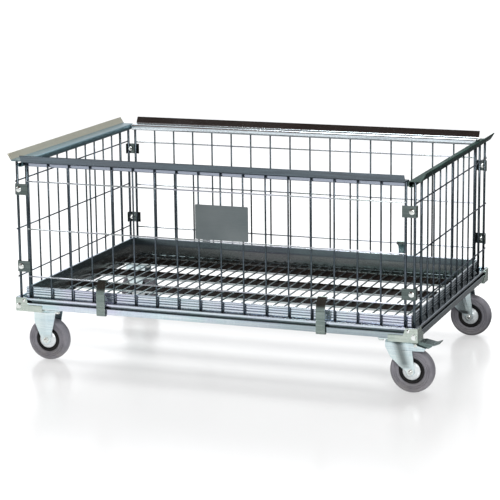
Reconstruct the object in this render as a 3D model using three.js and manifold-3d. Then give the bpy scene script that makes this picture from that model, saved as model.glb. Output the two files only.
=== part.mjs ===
// Wire-mesh transport trolley: a rolled-steel base on four castors, a cage of four welded wire
// panels that stand in the base's groove, and a flared rail on top of each panel for stacking.
// Millimetres, +Z up. The origin is on the floor, under the middle of the base. +X runs along the
// length, towards the two swivelling castors, and -Y is the front.
import * as THREE from "three";
import { mergeVertices } from "three/addons/utils/BufferGeometryUtils.js";
import Module from "manifold-3d";

const wasm = await Module();
wasm.setup();

// ---- Driving dimensions -------------------------------------------------------------------

const gap = 0.3; // left between two pieces that touch
const baseLength = 1200;
const baseWidth = 800;
const sheet = 2.5; // steel sheet of rails, brackets, clips and clamps

// Base frame
const gussetThickness = 7.4;
const rimHeight = 32; // underside of a base rail to the top of its outer bead
const webRise = 27; // top of the inner web above the outer bead
const grooveDepth = 6.5; // below the outer bead
const beadHeight = 5;
const beadThickness = 6;
const flangeHeight = 17; // outer flange, below the recess
const recessDepth = 12; // open recess between the flange and the bead
const railFlange = 31; // ledge at the foot of the web, under the floor channels
const webInset = 24.5; // outside of the base to the outer face of the web
const webWidth = 6.5;
const skirtLength = 84; // corner bracket, lower part, along the length
const skirtDepth = 56; // corner bracket, lower part, across
const cornerLength = 38; // corner bracket, upper part
const cornerHeight = 19; // height of the lower part
const gussetLength = 118;
const gussetDepth = 120;
const gussetInset = 36; // gusset's edges past the skirt, in from the outside

// Floor
const channelCount = 4;
const channelWidth = 84;
const channelHeight = 6.2;
const channelSheet = 2;
const floorWires = 34;
const floorWire = 4.4; // diameter
const floorWireMargin = 59.6; // outside of the base to the first floor wire
const tieMargin = 40; // outside of the base to the wire that ties the floor wires' ends

// Cage
const sideWires = 18; // upright wires in the front and back panels
const endWires = 13; // upright wires in the left and right panels
const sideFirst = 43.25; // end of the base to the first place of the front and back panels' pitch
const sideOuter = 40.5; // end of the base to their thick outer upright, which stands off the pitch
const endFirst = 13.6; // side of the base to the first upright of an end panel
const sideInset = 18.5; // outside of the base to the plane of a front or back panel
const endInset = 14; // the same for an end panel
const thickWire = 7.5;
const uprightWire = 5;
const rowWire = 4; // horizontal wires
const firstRow = 61; // top of the base's bead to the lowest horizontal wire
const rowPitch = 138.5;
const rowCount = 3;
const rowToShelf = 59; // top horizontal wire to the top of the rail's shelf
const rowOverhang = 6; // of a horizontal wire past the last upright of an end panel
const weldDepth = 0.6; // how far crossing wires sink into each other

// Top rails
const creaseOut = 3; // shelf's outer edge past the outside of the base
const lipFlare = 12;
const lipRise = 19;
const beadWidth = 15;
const beadDrop = 18;
const sideRailMargin = 36.5; // end of the base to the end of the front and back rails
const endRailMargin = 12; // the same for the end rails

// Corner clamps, clips and the sign plate
const clampHeight = 32;
const clampDepth = 12; // of the flange that goes round the corner
const clampLap = 4; // past the thick outer upright
const clampOffset = 23; // top row to the middle of an upper clamp
const lowClampOffset = 30; // lowest row to the middle of a lower clamp
const clipWidth = 26;
const clipBay = 5; // bays between the middle of a side panel and a clip's bay
const clipReach = 4; // inside of a closed clip past the outside of the base
const clipWrap = 3.4; // inner radius of a clip's hook on its wire
const clipBend = 28; // top of the base's bead to the bend where a clip turns straight down
const clipToe = 12; // depth of a clip's toe under the base rail
const plateLength = 156;
const plateHeight = 98;
const plateThickness = 1.5;
const plateOffset = 37.5; // plate's middle from the middle of the front panel
const plateRise = 3.6; // plate's lower edge above the middle row

// Castors
const castorInset = 70; // end of the base to a castor's centre
const castorSide = 75; // side of the base to a castor's centre
const castorPlateLength = 105;
const castorPlateWidth = 85;
const castorPlateThickness = 4;
const wheelDiameter = 125;
const wheelHeadroom = 32; // top of a wheel to the top of its castor's plate
const wheelWidth = 36;
const sideRoom = 5.8; // a tyre's side to the inside of the fork
const trail = 36; // swivel axis to axle
const forkSheet = 3.2;
const headDiameter = 68;
const headHeight = 5.7;
const forkTop = 70; // length of a fork leg at its top
const axleRadius = 6;
const axleHead = 10;
const axleHeadHeight = 5;
const rimRadius = 35.7;
const discRadius = 28;
const rimRecess = 4; // a wheel centre's rim, in from the tyre's side
const hubProud = 2; // a wheel centre's hub, out from the tyre's side
const pedalWidth = 44;
const pinRadius = 3;

// ---- Values that follow from them ---------------------------------------------------------

const castorHeight = wheelDiameter + wheelHeadroom; // floor to the top of a castor's plate
const forkOutside = wheelWidth + 2 * (sideRoom + forkSheet);
const halfLength = baseLength / 2;
const halfWidth = baseWidth / 2;
const gussetBottom = castorHeight + gap;
const gussetTop = gussetBottom + gussetThickness;
const railBottom = gussetTop + gap;
const rimTop = railBottom + rimHeight;
const webTop = rimTop + webRise;
const grooveFloor = rimTop - grooveDepth;
const webInside = webInset + webWidth;
const channelBottom = railBottom + sheet + gap;
const channelTop = channelBottom + channelHeight;
const lowRow = rimTop + firstRow;
const topRow = lowRow + rowPitch * (rowCount - 1);
const shelfTop = topRow + rowToShelf;
const railOut = sheet + gap; // outside of the base to a rail's outer face, behind the brackets
const axleHeight = wheelDiameter / 2;

// ---- Materials ----------------------------------------------------------------------------

function finish(color, roughness, metalness) {
  return new THREE.MeshStandardMaterial({ color, roughness, metalness });
}

const finishes = {
  base: finish(0xb9cbcb, 0.35, 0.9),
  rail: finish(0x7d8a8c, 0.4, 0.9),
  wire: finish(0x66737a, 0.4, 0.9),
  bracket: finish(0x93a29d, 0.4, 0.9),
  plate: finish(0x5c676b, 0.55, 0.6),
  fork: finish(0xc4d2d1, 0.3, 0.95),
  tyre: finish(0x6c6b74, 0.8, 0),
  hub: finish(0x15161a, 0.5, 0),
  bolt: finish(0xd5dcdc, 0.3, 1),
};

// ---- Helpers ------------------------------------------------------------------------------

function solidFrom(geometry) {
  const bare = new THREE.BufferGeometry();
  const loose = geometry.index ? geometry.toNonIndexed() : geometry;
  bare.setAttribute("position", loose.getAttribute("position"));
  const merged = mergeVertices(bare, 1e-4);
  return new wasm.Manifold(
    new wasm.Mesh({
      numProp: 3,
      vertProperties: merged.attributes.position.array,
      triVerts: new Uint32Array(merged.index.array),
    }),
  );
}

function geometryFrom(solid) {
  const mesh = solid.getMesh();
  const geometry = new THREE.BufferGeometry();
  geometry.setAttribute("position", new THREE.BufferAttribute(mesh.vertProperties, 3));
  geometry.setIndex(new THREE.BufferAttribute(mesh.triVerts, 1));
  return geometry.toNonIndexed();
}

// One solid from geometries that overlap, such as welded wires.
function weld(geometries) {
  const solids = geometries.map(solidFrom);
  return geometryFrom(solids.reduce((whole, next) => whole.add(next)));
}

function part(name, geometry, material) {
  geometry.computeVertexNormals();
  const mesh = new THREE.Mesh(geometry, material);
  mesh.name = name;
  return mesh;
}

// A box from its lowest and highest corners.
function box(low, high) {
  const size = high.map((v, i) => v - low[i]);
  const middle = high.map((v, i) => (v + low[i]) / 2);
  return new THREE.BoxGeometry(...size).translate(...middle);
}

function outlineShape(points) {
  return new THREE.Shape(points.map(([a, b]) => new THREE.Vector2(a, b)));
}

// A section drawn as [inset, height] and run along X at the front of the base. Inset is measured
// inwards from a face at y = -halfAcross. With a mitre, each end is cut back by its own inset.
function runSection(points, halfRun, halfAcross, mitre) {
  const geometry = new THREE.ExtrudeGeometry(outlineShape(points), { depth: 1, bevelEnabled: false });
  const p = geometry.getAttribute("position");
  for (let i = 0; i < p.count; i += 1) {
    const inset = p.getX(i);
    const reach = mitre ? halfRun - inset - gap : halfRun;
    p.setXYZ(i, (2 * p.getZ(i) - 1) * reach, inset - halfAcross, p.getY(i));
  }
  return geometry;
}

// An outline in the XZ plane, given a thickness along Y.
function slab(shape, yLow, yHigh) {
  const settings = { depth: yHigh - yLow, bevelEnabled: false, curveSegments: 6 };
  return new THREE.ExtrudeGeometry(shape, settings).rotateX(Math.PI / 2).translate(0, yHigh, 0);
}

// A strip of sheet that follows a bent line, as a closed outline: the line offset to both sides.
function stripOutline(line, thickness) {
  const left = [];
  const right = [];
  line.forEach(([a, b], i) => {
    const before = line[Math.max(i - 1, 0)];
    const after = line[Math.min(i + 1, line.length - 1)];
    const unit = (from, to) => {
      const size = Math.hypot(to[0] - from[0], to[1] - from[1]);
      return size ? [(to[0] - from[0]) / size, (to[1] - from[1]) / size] : null;
    };
    const into = unit(before, [a, b]) ?? unit([a, b], after);
    const out = unit([a, b], after) ?? into;
    const normal = [-(into[1] + out[1]), into[0] + out[0]];
    const length = Math.hypot(...normal);
    const half = thickness / (1 + into[0] * out[0] + into[1] * out[1]) * (length / 2);
    left.push([a + (normal[0] / length) * half, b + (normal[1] / length) * half]);
    right.push([a - (normal[0] / length) * half, b - (normal[1] / length) * half]);
  });
  return [...left, ...right.reverse()];
}

// The side of a square bar with the same section area as a round wire.
function barSide(diameter) {
  return (diameter * Math.sqrt(Math.PI)) / 2;
}

// A bar along one axis (0, 1 or 2), centred on a point in the other two.
function bar(axis, from, to, centre, diameter) {
  const half = barSide(diameter) / 2;
  const low = centre.map((v) => v - half);
  const high = centre.map((v) => v + half);
  low[axis] = from;
  high[axis] = to;
  return box(low, high);
}

function evenly(count, first, last) {
  return Array.from({ length: count }, (_, i) => first + ((last - first) * i) / (count - 1));
}

// ---- Base ---------------------------------------------------------------------------------

// Outer flange, recess, bead, groove for the panels, hollow web and the ledge at its foot.
function baseRailSection() {
  const flangeTop = railBottom + flangeHeight;
  const beadBottom = rimTop - beadHeight;
  const recess = railOut + recessDepth;
  const beadBack = railOut + beadThickness;
  const underGroove = grooveFloor - sheet;
  return [
    [railOut, railBottom],
    [railOut, flangeTop],
    [recess, flangeTop],
    [recess, underGroove],
    [railOut + sheet, underGroove],
    [railOut, beadBottom],
    [railOut, rimTop - 2],
    [railOut + 1.5, rimTop],
    [beadBack - 1.5, rimTop],
    [beadBack, rimTop - 1.5],
    [beadBack, grooveFloor],
    [webInset - 1, grooveFloor],
    [webInset, webTop],
    [webInside, webTop],
    [webInside, railBottom + sheet],
    [webInside + railFlange, railBottom + sheet],
    [webInside + railFlange, railBottom],
    [webInside - sheet, railBottom],
    [webInside - sheet, webTop - sheet],
    [webInset + sheet, webTop - sheet],
    [webInset + 1.5, underGroove],
    [recess + sheet, underGroove],
    [recess + sheet, flangeTop - sheet],
    [railOut + sheet, flangeTop - sheet],
    [railOut + sheet, railBottom + sheet],
    [webInset - sheet, railBottom + sheet],
    [webInset - sheet, railBottom],
  ];
}

function baseRails() {
  const section = baseRailSection();
  const sides = [
    ["base_rail_front", halfLength, halfWidth, 0],
    ["base_rail_right", halfWidth, halfLength, 1],
    ["base_rail_back", halfLength, halfWidth, 2],
    ["base_rail_left", halfWidth, halfLength, 3],
  ];
  return sides.map(([name, halfRun, halfAcross, quarter]) => {
    const rail = part(name, runSection(section, halfRun, halfAcross, true), finishes.base);
    rail.rotation.z = (quarter * Math.PI) / 2;
    return rail;
  });
}

// Gusset under the rails' ends, with a skirt that wraps round the corner.
function cornerBracket(name, sideX, sideY) {
  const span = (half, from, to, side) => {
    const ends = [side * (half - from), side * (half - to)];
    return [Math.min(...ends), Math.max(...ends)];
  };
  const walls = [
    [0, skirtLength, 0, skirtDepth, gussetBottom, gussetTop],
    [gussetInset, gussetLength, gussetInset, gussetDepth, gussetBottom, gussetTop],
    [0, skirtLength, 0, sheet, gussetBottom, gussetBottom + cornerHeight],
    [0, sheet, 0, skirtDepth, gussetBottom, gussetBottom + cornerHeight],
    [0, cornerLength, 0, sheet, gussetBottom, rimTop],
    [0, sheet, 0, cornerLength, gussetBottom, rimTop],
  ].map(([x0, x1, y0, y1, z0, z1]) => {
    const [xLow, xHigh] = span(halfLength, x0, x1, sideX);
    const [yLow, yHigh] = span(halfWidth, y0, y1, sideY);
    return box([xLow, yLow, z0], [xHigh, yHigh, z1]);
  });
  return part(name, weld(walls), finishes.bracket);
}

// ---- Floor --------------------------------------------------------------------------------

function channelCentres() {
  const pitch = (baseWidth - 2 * webInside - channelWidth / 2) / channelCount;
  return evenly(channelCount, (-pitch * (channelCount - 1)) / 2, (pitch * (channelCount - 1)) / 2);
}

function floorChannels() {
  const half = channelWidth / 2;
  const section = [
    [-half, channelBottom],
    [-half, channelTop],
    [-half + channelSheet, channelTop],
    [-half + channelSheet, channelBottom + channelSheet],
    [half - channelSheet, channelBottom + channelSheet],
    [half - channelSheet, channelTop],
    [half, channelTop],
    [half, channelBottom],
  ];
  return channelCentres().map((y, i) => {
    const geometry = runSection(section, halfLength - webInside - gap, 0, false);
    const channel = part(`floor_channel_${i + 1}`, geometry, finishes.base);
    channel.position.y = y;
    return channel;
  });
}

function floorMat() {
  const z = channelTop + gap + barSide(floorWire) / 2;
  const reach = halfWidth - webInside - 2;
  const tieZ = z - barSide(floorWire) + weldDepth;
  const outer = halfLength - floorWireMargin;
  const wires = evenly(floorWires, -outer, outer).map((x) => bar(1, -reach, reach, [x, 0, z], floorWire));
  const ties = [-1, 1].map((side) =>
    bar(0, -outer - 2, outer + 2, [0, side * (halfWidth - tieMargin), tieZ], floorWire),
  );
  return part("floor_mat", weld([...wires, ...ties]), finishes.wire);
}

// ---- Cage ---------------------------------------------------------------------------------

// A panel in the plane y = -halfAcross + inset. Every upright is welded to the inside of the rows.
function wirePanel({ count, first, outer, halfRun, halfAcross, inset, thickEach, overhang }) {
  const y = inset - halfAcross;
  const last = halfRun - first;
  const outermost = halfRun - outer;
  const bottom = grooveFloor + 2 * gap;
  const top = shelfTop - sheet - gap;
  const places = [-outermost, ...evenly(count, -last, last).slice(1, -1), outermost];
  const uprights = places.map((x, i) => {
    const thick = i < thickEach || i >= count - thickEach;
    return bar(2, bottom, top, [x, y, 0], thick ? thickWire : uprightWire);
  });
  const rowY = y - barSide(uprightWire) / 2 - barSide(rowWire) / 2 + weldDepth;
  const rowEnd = outermost + overhang;
  const rows = evenly(rowCount, lowRow, topRow).map((z) => bar(0, -rowEnd, rowEnd, [0, rowY, z], rowWire));
  return weld([...uprights, ...rows]);
}

function wirePanels() {
  const side = {
    count: sideWires,
    first: sideFirst,
    outer: sideOuter,
    halfRun: halfLength,
    halfAcross: halfWidth,
    inset: sideInset,
    thickEach: 1,
    overhang: 0,
  };
  const end = {
    count: endWires,
    first: endFirst,
    outer: endFirst,
    halfRun: halfWidth,
    halfAcross: halfLength,
    inset: endInset,
    thickEach: 2,
    overhang: rowOverhang,
  };
  const panels = [
    ["panel_front", side, 0],
    ["panel_right", end, 1],
    ["panel_back", side, 2],
    ["panel_left", end, 3],
  ];
  return panels.map(([name, values, quarter]) => {
    const panel = part(name, wirePanel(values), finishes.wire);
    panel.rotation.z = (quarter * Math.PI) / 2;
    return panel;
  });
}

// Flared lip, shelf over the uprights, and a bead that is open towards them.
function topRailSection(wireInset) {
  const beadOut = wireInset + thickWire / 2 + gap;
  const beadIn = beadOut + beadWidth;
  const under = shelfTop - sheet;
  const beadBottom = shelfTop - beadDrop;
  const tip = -creaseOut - lipFlare;
  return [
    [-creaseOut, under],
    [tip, shelfTop + lipRise - 1.4],
    [tip + 2, shelfTop + lipRise],
    [-creaseOut + 1.4, shelfTop],
    [beadIn, shelfTop],
    [beadIn, beadBottom + 1.5],
    [beadIn - 1.5, beadBottom],
    [beadOut + 1.5, beadBottom],
    [beadOut, beadBottom + 1.5],
    [beadOut, beadBottom + 9],
    [beadOut + sheet, beadBottom + 9],
    [beadOut + sheet, beadBottom + sheet],
    [beadIn - sheet, beadBottom + sheet],
    [beadIn - sheet, under],
  ];
}

function topRails() {
  const rails = [
    ["top_rail_front", sideInset, halfLength - sideRailMargin, halfWidth, 0],
    ["top_rail_right", endInset, halfWidth - endRailMargin, halfLength, 1],
    ["top_rail_back", sideInset, halfLength - sideRailMargin, halfWidth, 2],
    ["top_rail_left", endInset, halfWidth - endRailMargin, halfLength, 3],
  ];
  return rails.map(([name, inset, halfRun, halfAcross, quarter]) => {
    const geometry = runSection(topRailSection(inset), halfRun, halfAcross, false);
    const rail = part(name, geometry, finishes.rail);
    rail.rotation.z = (quarter * Math.PI) / 2;
    return rail;
  });
}

// A plate across the last upright of a side panel, folded round the first one of an end panel.
function cornerClamp(name, sideX, sideY, z) {
  const inner = halfLength - sideOuter - thickWire / 2 - clampLap;
  const outer = halfLength - endInset + thickWire / 2 + gap;
  const face = halfWidth - Math.min(endFirst, sideInset) + thickWire / 2 + gap;
  const section = outlineShape([
    [inner, face],
    [inner, face + sheet],
    [outer + sheet, face + sheet],
    [outer + sheet, face - clampDepth],
    [outer, face - clampDepth],
    [outer, face],
  ]);
  const geometry = new THREE.ExtrudeGeometry(section, { depth: clampHeight, bevelEnabled: false });
  const clamp = part(name, geometry.translate(0, 0, -clampHeight / 2), finishes.bracket);
  clamp.position.z = z;
  // Turned half round for the opposite corner; mirrored for the other two, as the real pair is.
  clamp.scale.set(sideX, sideY, 1);
  return clamp;
}

function signPlate() {
  const y = -halfWidth + sideInset - barSide(uprightWire) / 2 - barSide(rowWire) + weldDepth - gap;
  const low = lowRow + rowPitch + plateRise;
  const left = plateOffset - plateLength / 2;
  const geometry = box([left, y - plateThickness, low], [left + plateLength, y, low + plateHeight]);
  return part("sign_plate", geometry, finishes.plate);
}

// ---- Clips that hold the cage down on the base ----------------------------------------------

// Distance from the middle of the base to the axis of the wire that a clip hangs on.
const clipAxisY = halfWidth - sideInset + barSide(uprightWire) / 2 + barSide(rowWire) / 2 - weldDepth;

// Bent strip: a hook round the lowest row, a slope out over the bead, a drop down the face of the
// rail, and a toe under its lower edge. Drawn as [outwards from the wire's axis, height].
function clipOutline() {
  const wrap = clipWrap + sheet / 2;
  const arc = [-40, 0, 45, 90, 130].map((degrees) => {
    const angle = (degrees * Math.PI) / 180;
    return [-wrap * Math.cos(angle), lowRow + wrap * Math.sin(angle)];
  });
  const face = halfWidth + clipReach - clipAxisY;
  const toe = railBottom - sheet / 2 - 1.2;
  const slope = [[wrap + 1.2, lowRow - 3], [face, rimTop + clipBend]];
  const foot = [[face, toe + 2], [face - 2, toe], [face - clipToe, toe]];
  return stripOutline([...arc, ...slope, ...foot], sheet);
}

function clip(name, x, sideY) {
  const section = outlineShape(clipOutline());
  const geometry = new THREE.ExtrudeGeometry(section, { depth: clipWidth, bevelEnabled: false });
  // The outline's first axis is turned outwards along -Y, and its depth along X.
  geometry.rotateX(Math.PI / 2).rotateZ(-Math.PI / 2).translate(clipWidth / 2, -clipAxisY, 0);
  const mesh = part(name, geometry, finishes.bracket);
  mesh.rotation.z = sideY < 0 ? 0 : Math.PI;
  const group = new THREE.Group();
  group.position.x = x;
  group.add(mesh);
  return group;
}

function clips() {
  const bay = (baseLength - 2 * sideFirst) / (sideWires - 1);
  return [
    clip("clip_front_left", -clipBay * bay, -1),
    clip("clip_front_right", clipBay * bay, -1),
    clip("clip_back_left", -clipBay * bay, 1),
    clip("clip_back_right", clipBay * bay, 1),
  ];
}

// ---- Castors --------------------------------------------------------------------------------

// Everything about a castor is drawn with its centre at x = 0, y = 0 and its wheel towards +X.

function roundHole(x, z, radius) {
  const angles = evenly(17, 0, -2 * Math.PI).slice(1);
  return new THREE.Path(
    angles.map((a) => new THREE.Vector2(x + radius * Math.cos(a), z + radius * Math.sin(a))),
  );
}

// A swivelling fork's leg. Heights are above the axle, and the other lengths run along the leg's top.
const swivelLeg = {
  eye: 10, // radius of the round end at the axle
  shoulder: 20, // straight edge below the crown
  knee: 38,
  kneeBack: 56,
  shin: 16,
  shinBack: 32.2,
  heel: 34,
  heelIn: 2,
};

// Its outline, from the crown down to the round end.
function legShape(axleX, crownTop, arm) {
  const half = forkTop / 2;
  const { eye, shoulder, knee, kneeBack, shin, shinBack, heel, heelIn } = swivelLeg;
  const shape = new THREE.Shape();
  shape.moveTo(-half, crownTop);
  shape.lineTo(-half, crownTop - shoulder);
  shape.lineTo(axleX - kneeBack, axleHeight + knee);
  shape.lineTo(axleX - shinBack, axleHeight + shin);
  shape.absarc(axleX, axleHeight, eye, 1.3 * Math.PI, 2 * Math.PI, false);
  shape.lineTo(axleX + eye - heelIn, axleHeight + heel);
  if (arm) arm.forEach(([x, z]) => shape.lineTo(x, z));
  shape.lineTo(half, crownTop);
  shape.holes.push(roundHole(axleX, axleHeight, axleRadius + gap));
  return shape;
}

// The braked fork's legs reach back over the wheel and carry the pedal's pin.
const armOutline = [
  [trail + 2, wheelDiameter - 3],
  [trail + 38, wheelDiameter - 3],
  [trail + 43, wheelDiameter + 6],
];
const pinX = trail + 14;
const pinZ = wheelDiameter + 13;

// A fixed fork's leg narrows evenly to the axle under its middle, from these heights above the axle.
const fixedLeg = { eye: 13, frontTaper: 52, backTaper: 46, backHalf: 25.2 };

function fixedLegShape(crownTop) {
  const half = forkTop / 2;
  const { eye, frontTaper, backTaper, backHalf } = fixedLeg;
  const shape = new THREE.Shape();
  shape.moveTo(-half, crownTop);
  shape.lineTo(-half, axleHeight + frontTaper);
  shape.lineTo(-eye, axleHeight);
  shape.absarc(0, axleHeight, eye, Math.PI, 2 * Math.PI, false);
  shape.lineTo(backHalf, axleHeight + backTaper);
  shape.lineTo(half, crownTop);
  shape.holes.push(roundHole(0, axleHeight, axleRadius + gap));
  return shape;
}

function fork(name, shape, crownTop) {
  const half = forkTop / 2;
  const outside = forkOutside / 2;
  const crown = box([-half, -outside, crownTop - forkSheet], [half, outside, crownTop]);
  const near = slab(shape, -outside, -outside + forkSheet);
  const far = slab(shape, outside - forkSheet, outside);
  return part(name, weld([crown, near, far]), finishes.fork);
}

// A turned piece whose profile is drawn as [radius, distance along the axle].
function turned(points, segments) {
  return new THREE.LatheGeometry(points.map(([r, y]) => new THREE.Vector2(r, y)), segments);
}

function tyre(name) {
  const half = wheelWidth / 2;
  const outer = wheelDiameter / 2;
  const inner = rimRadius + gap;
  const seat = half * 0.78; // half the width at the rim
  const shoulder = half * 0.66;
  const crown = half * 0.25; // half of the flat running face
  const wall = inner + 6; // where the flat side wall starts
  const profile = [
    [inner, -seat],
    [wall, -half],
    [outer - 9, -half],
    [outer - 2.5, -shoulder],
    [outer, -crown],
    [outer, crown],
    [outer - 2.5, shoulder],
    [outer - 9, half],
    [wall, half],
    [inner, seat],
    [inner, -seat],
  ];
  return part(name, turned(profile, 40), finishes.tyre);
}

function wheelCentre(name) {
  const bore = axleRadius + gap;
  const half = wheelWidth / 2 - rimRecess;
  const disc = wheelWidth / 2 + hubProud;
  const profile = [
    [bore, -disc],
    [discRadius - 8, -disc],
    [discRadius, -half],
    [rimRadius, -half],
    [rimRadius, half],
    [discRadius, half],
    [discRadius - 8, disc],
    [bore, disc],
    [bore, -disc],
  ];
  return part(name, turned(profile, 24), finishes.hub);
}

function axle(name) {
  const reach = forkOutside / 2 + gap;
  const end = reach + axleHeadHeight;
  const profile = [
    [0, -end],
    [axleHead, -end],
    [axleHead, -reach],
    [axleRadius, -reach],
    [axleRadius, reach],
    [axleHead, reach],
    [axleHead, end],
    [0, end],
  ];
  return part(name, turned(profile, 12), finishes.bolt);
}

function castorPlate(name) {
  const length = castorPlateLength / 2;
  const width = castorPlateWidth / 2;
  const low = castorHeight - castorPlateThickness;
  return part(name, box([-length, -width, low], [length, width, castorHeight]), finishes.fork);
}

function brakePedal(name) {
  const shape = outlineShape([
    [pinX - 4, pinZ - 6],
    [pinX + 34, pinZ - 9],
    [pinX + 67, pinZ + 9],
    [pinX + 66, pinZ + 12],
    [pinX + 50, pinZ + 5],
    [pinX + 20, pinZ + 11],
    [pinX - 6, pinZ + 8],
  ]);
  shape.holes.push(roundHole(pinX, pinZ, pinRadius + gap));
  return part(name, slab(shape, -pedalWidth / 2, pedalWidth / 2), finishes.bracket);
}

function brakePin(name) {
  const end = forkOutside / 2 - forkSheet - gap;
  const pin = new THREE.CylinderGeometry(pinRadius, pinRadius, 2 * end, 12);
  return part(name, pin.translate(pinX, 0, pinZ), finishes.bolt);
}

function castor(corner, sideX, sideY, { swivels, braked }) {
  const group = new THREE.Group();
  group.position.set(sideX * (halfLength - castorInset), sideY * (halfWidth - castorSide), 0);
  const underPlate = castorHeight - castorPlateThickness - gap;
  const crownTop = swivels ? underPlate - headHeight - gap : underPlate;
  const axleX = swivels ? trail : 0;
  const shape = swivels ? legShape(axleX, crownTop, braked ? armOutline : null) : fixedLegShape(crownTop);
  group.add(castorPlate(`castor_plate_${corner}`), fork(`castor_fork_${corner}`, shape, crownTop));
  if (swivels) {
    const head = new THREE.CylinderGeometry(headDiameter / 2, headDiameter / 2 - 3, headHeight, 24);
    head.rotateX(Math.PI / 2).translate(0, 0, underPlate - headHeight / 2);
    group.add(part(`swivel_head_${corner}`, head, finishes.fork));
  }
  if (braked) group.add(brakePedal(`brake_pedal_${corner}`), brakePin(`brake_pin_${corner}`));
  const wheel = new THREE.Group();
  wheel.position.set(axleX, 0, axleHeight);
  wheel.add(tyre(`tyre_${corner}`), wheelCentre(`wheel_centre_${corner}`), axle(`axle_${corner}`));
  group.add(wheel);
  return group;
}

// ---- Assembly -------------------------------------------------------------------------------

const corners = [
  ["front_left", -1, -1, { swivels: false, braked: false }],
  ["front_right", 1, -1, { swivels: true, braked: true }],
  ["back_right", 1, 1, { swivels: true, braked: false }],
  ["back_left", -1, 1, { swivels: false, braked: false }],
];

const trolley = new THREE.Group();
trolley.add(...baseRails(), ...floorChannels(), floorMat());
trolley.add(...wirePanels(), ...topRails(), signPlate(), ...clips());
corners.forEach(([corner, sideX, sideY, kind]) => {
  trolley.add(cornerBracket(`corner_bracket_${corner}`, sideX, sideY));
  trolley.add(cornerClamp(`corner_clamp_upper_${corner}`, sideX, sideY, topRow - clampOffset));
  trolley.add(cornerClamp(`corner_clamp_lower_${corner}`, sideX, sideY, lowRow + lowClampOffset));
  trolley.add(castor(corner, sideX, sideY, kind));
});

export default trolley;
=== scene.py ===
# Wire-mesh transport trolley: fine metalwork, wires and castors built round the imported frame.
# Metres, +Z up. The front is -Y and the two swivelling castors are at +X.
import math

import bmesh
import bpy
import numpy as np
from mathutils import Matrix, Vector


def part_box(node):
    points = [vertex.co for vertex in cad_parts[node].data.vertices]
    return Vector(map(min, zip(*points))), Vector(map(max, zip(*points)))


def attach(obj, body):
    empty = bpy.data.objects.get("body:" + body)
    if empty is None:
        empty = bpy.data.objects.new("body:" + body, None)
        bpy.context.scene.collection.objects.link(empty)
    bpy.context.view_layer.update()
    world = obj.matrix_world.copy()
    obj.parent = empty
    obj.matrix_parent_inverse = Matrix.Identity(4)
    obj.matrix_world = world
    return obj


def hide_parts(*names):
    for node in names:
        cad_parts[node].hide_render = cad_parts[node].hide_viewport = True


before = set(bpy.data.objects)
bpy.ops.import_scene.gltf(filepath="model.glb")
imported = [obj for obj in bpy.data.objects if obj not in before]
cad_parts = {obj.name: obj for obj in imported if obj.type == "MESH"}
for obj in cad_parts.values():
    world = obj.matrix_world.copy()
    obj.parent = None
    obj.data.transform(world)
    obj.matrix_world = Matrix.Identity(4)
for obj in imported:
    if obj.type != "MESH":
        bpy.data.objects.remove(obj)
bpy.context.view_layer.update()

print("frame loaded:", len(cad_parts), "nodes")

corners = {"front_left": (-1, -1), "front_right": (1, -1), "back_right": (1, 1), "back_left": (-1, 1)}
sides = ["front", "right", "back", "left"]  # quarter turns from the front


# A shape is (points, loops, sizes): corner positions, the corners of all faces in a row, and each
# face's number of corners.

def gridShape(grid, closeRows=False, closeColumns=True, caps=False):
    # Quads between neighbouring points of a grid of rows x columns; caps close the first and last row.
    rows, columns = grid.shape[:2]
    index = np.arange(rows * columns).reshape(rows, columns)
    if closeRows:
        index = np.vstack([index, index[:1]])
    if closeColumns:
        index = np.hstack([index, index[:, :1]])
    quads = np.stack([index[:-1, :-1], index[:-1, 1:], index[1:, 1:], index[1:, :-1]], axis=-1).reshape(-1, 4)
    loops, sizes = quads.ravel(), np.full(len(quads), 4)
    if caps:
        first, last = np.arange(columns)[::-1], np.arange(columns) + (rows - 1) * columns
        loops = np.concatenate([loops, first, last])
        sizes = np.concatenate([sizes, [columns, columns]])
    return grid.reshape(-1, 3), loops, sizes


def joinShapes(shapes):
    starts = np.cumsum([0] + [len(s[0]) for s in shapes[:-1]])
    loops = [s[1] + start for s, start in zip(shapes, starts)]
    return np.vstack([s[0] for s in shapes]), np.concatenate(loops), np.concatenate([s[2] for s in shapes])


def moveShape(shape, shift=(0, 0, 0), turn=None):
    points = shape[0] if turn is None else shape[0] @ np.array(turn, float).T
    return points + np.array(shift, float), shape[1], shape[2]


def mirrorShape(shape, signX, signY):
    return shape[0] * np.array([signX, signY, 1.0]), shape[1], shape[2]


def quarterTurn(shape, quarter):
    angle = quarter * math.pi / 2
    turn = [[math.cos(angle), -math.sin(angle), 0], [math.sin(angle), math.cos(angle), 0], [0, 0, 1]]
    return moveShape(shape, turn=turn)


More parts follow.
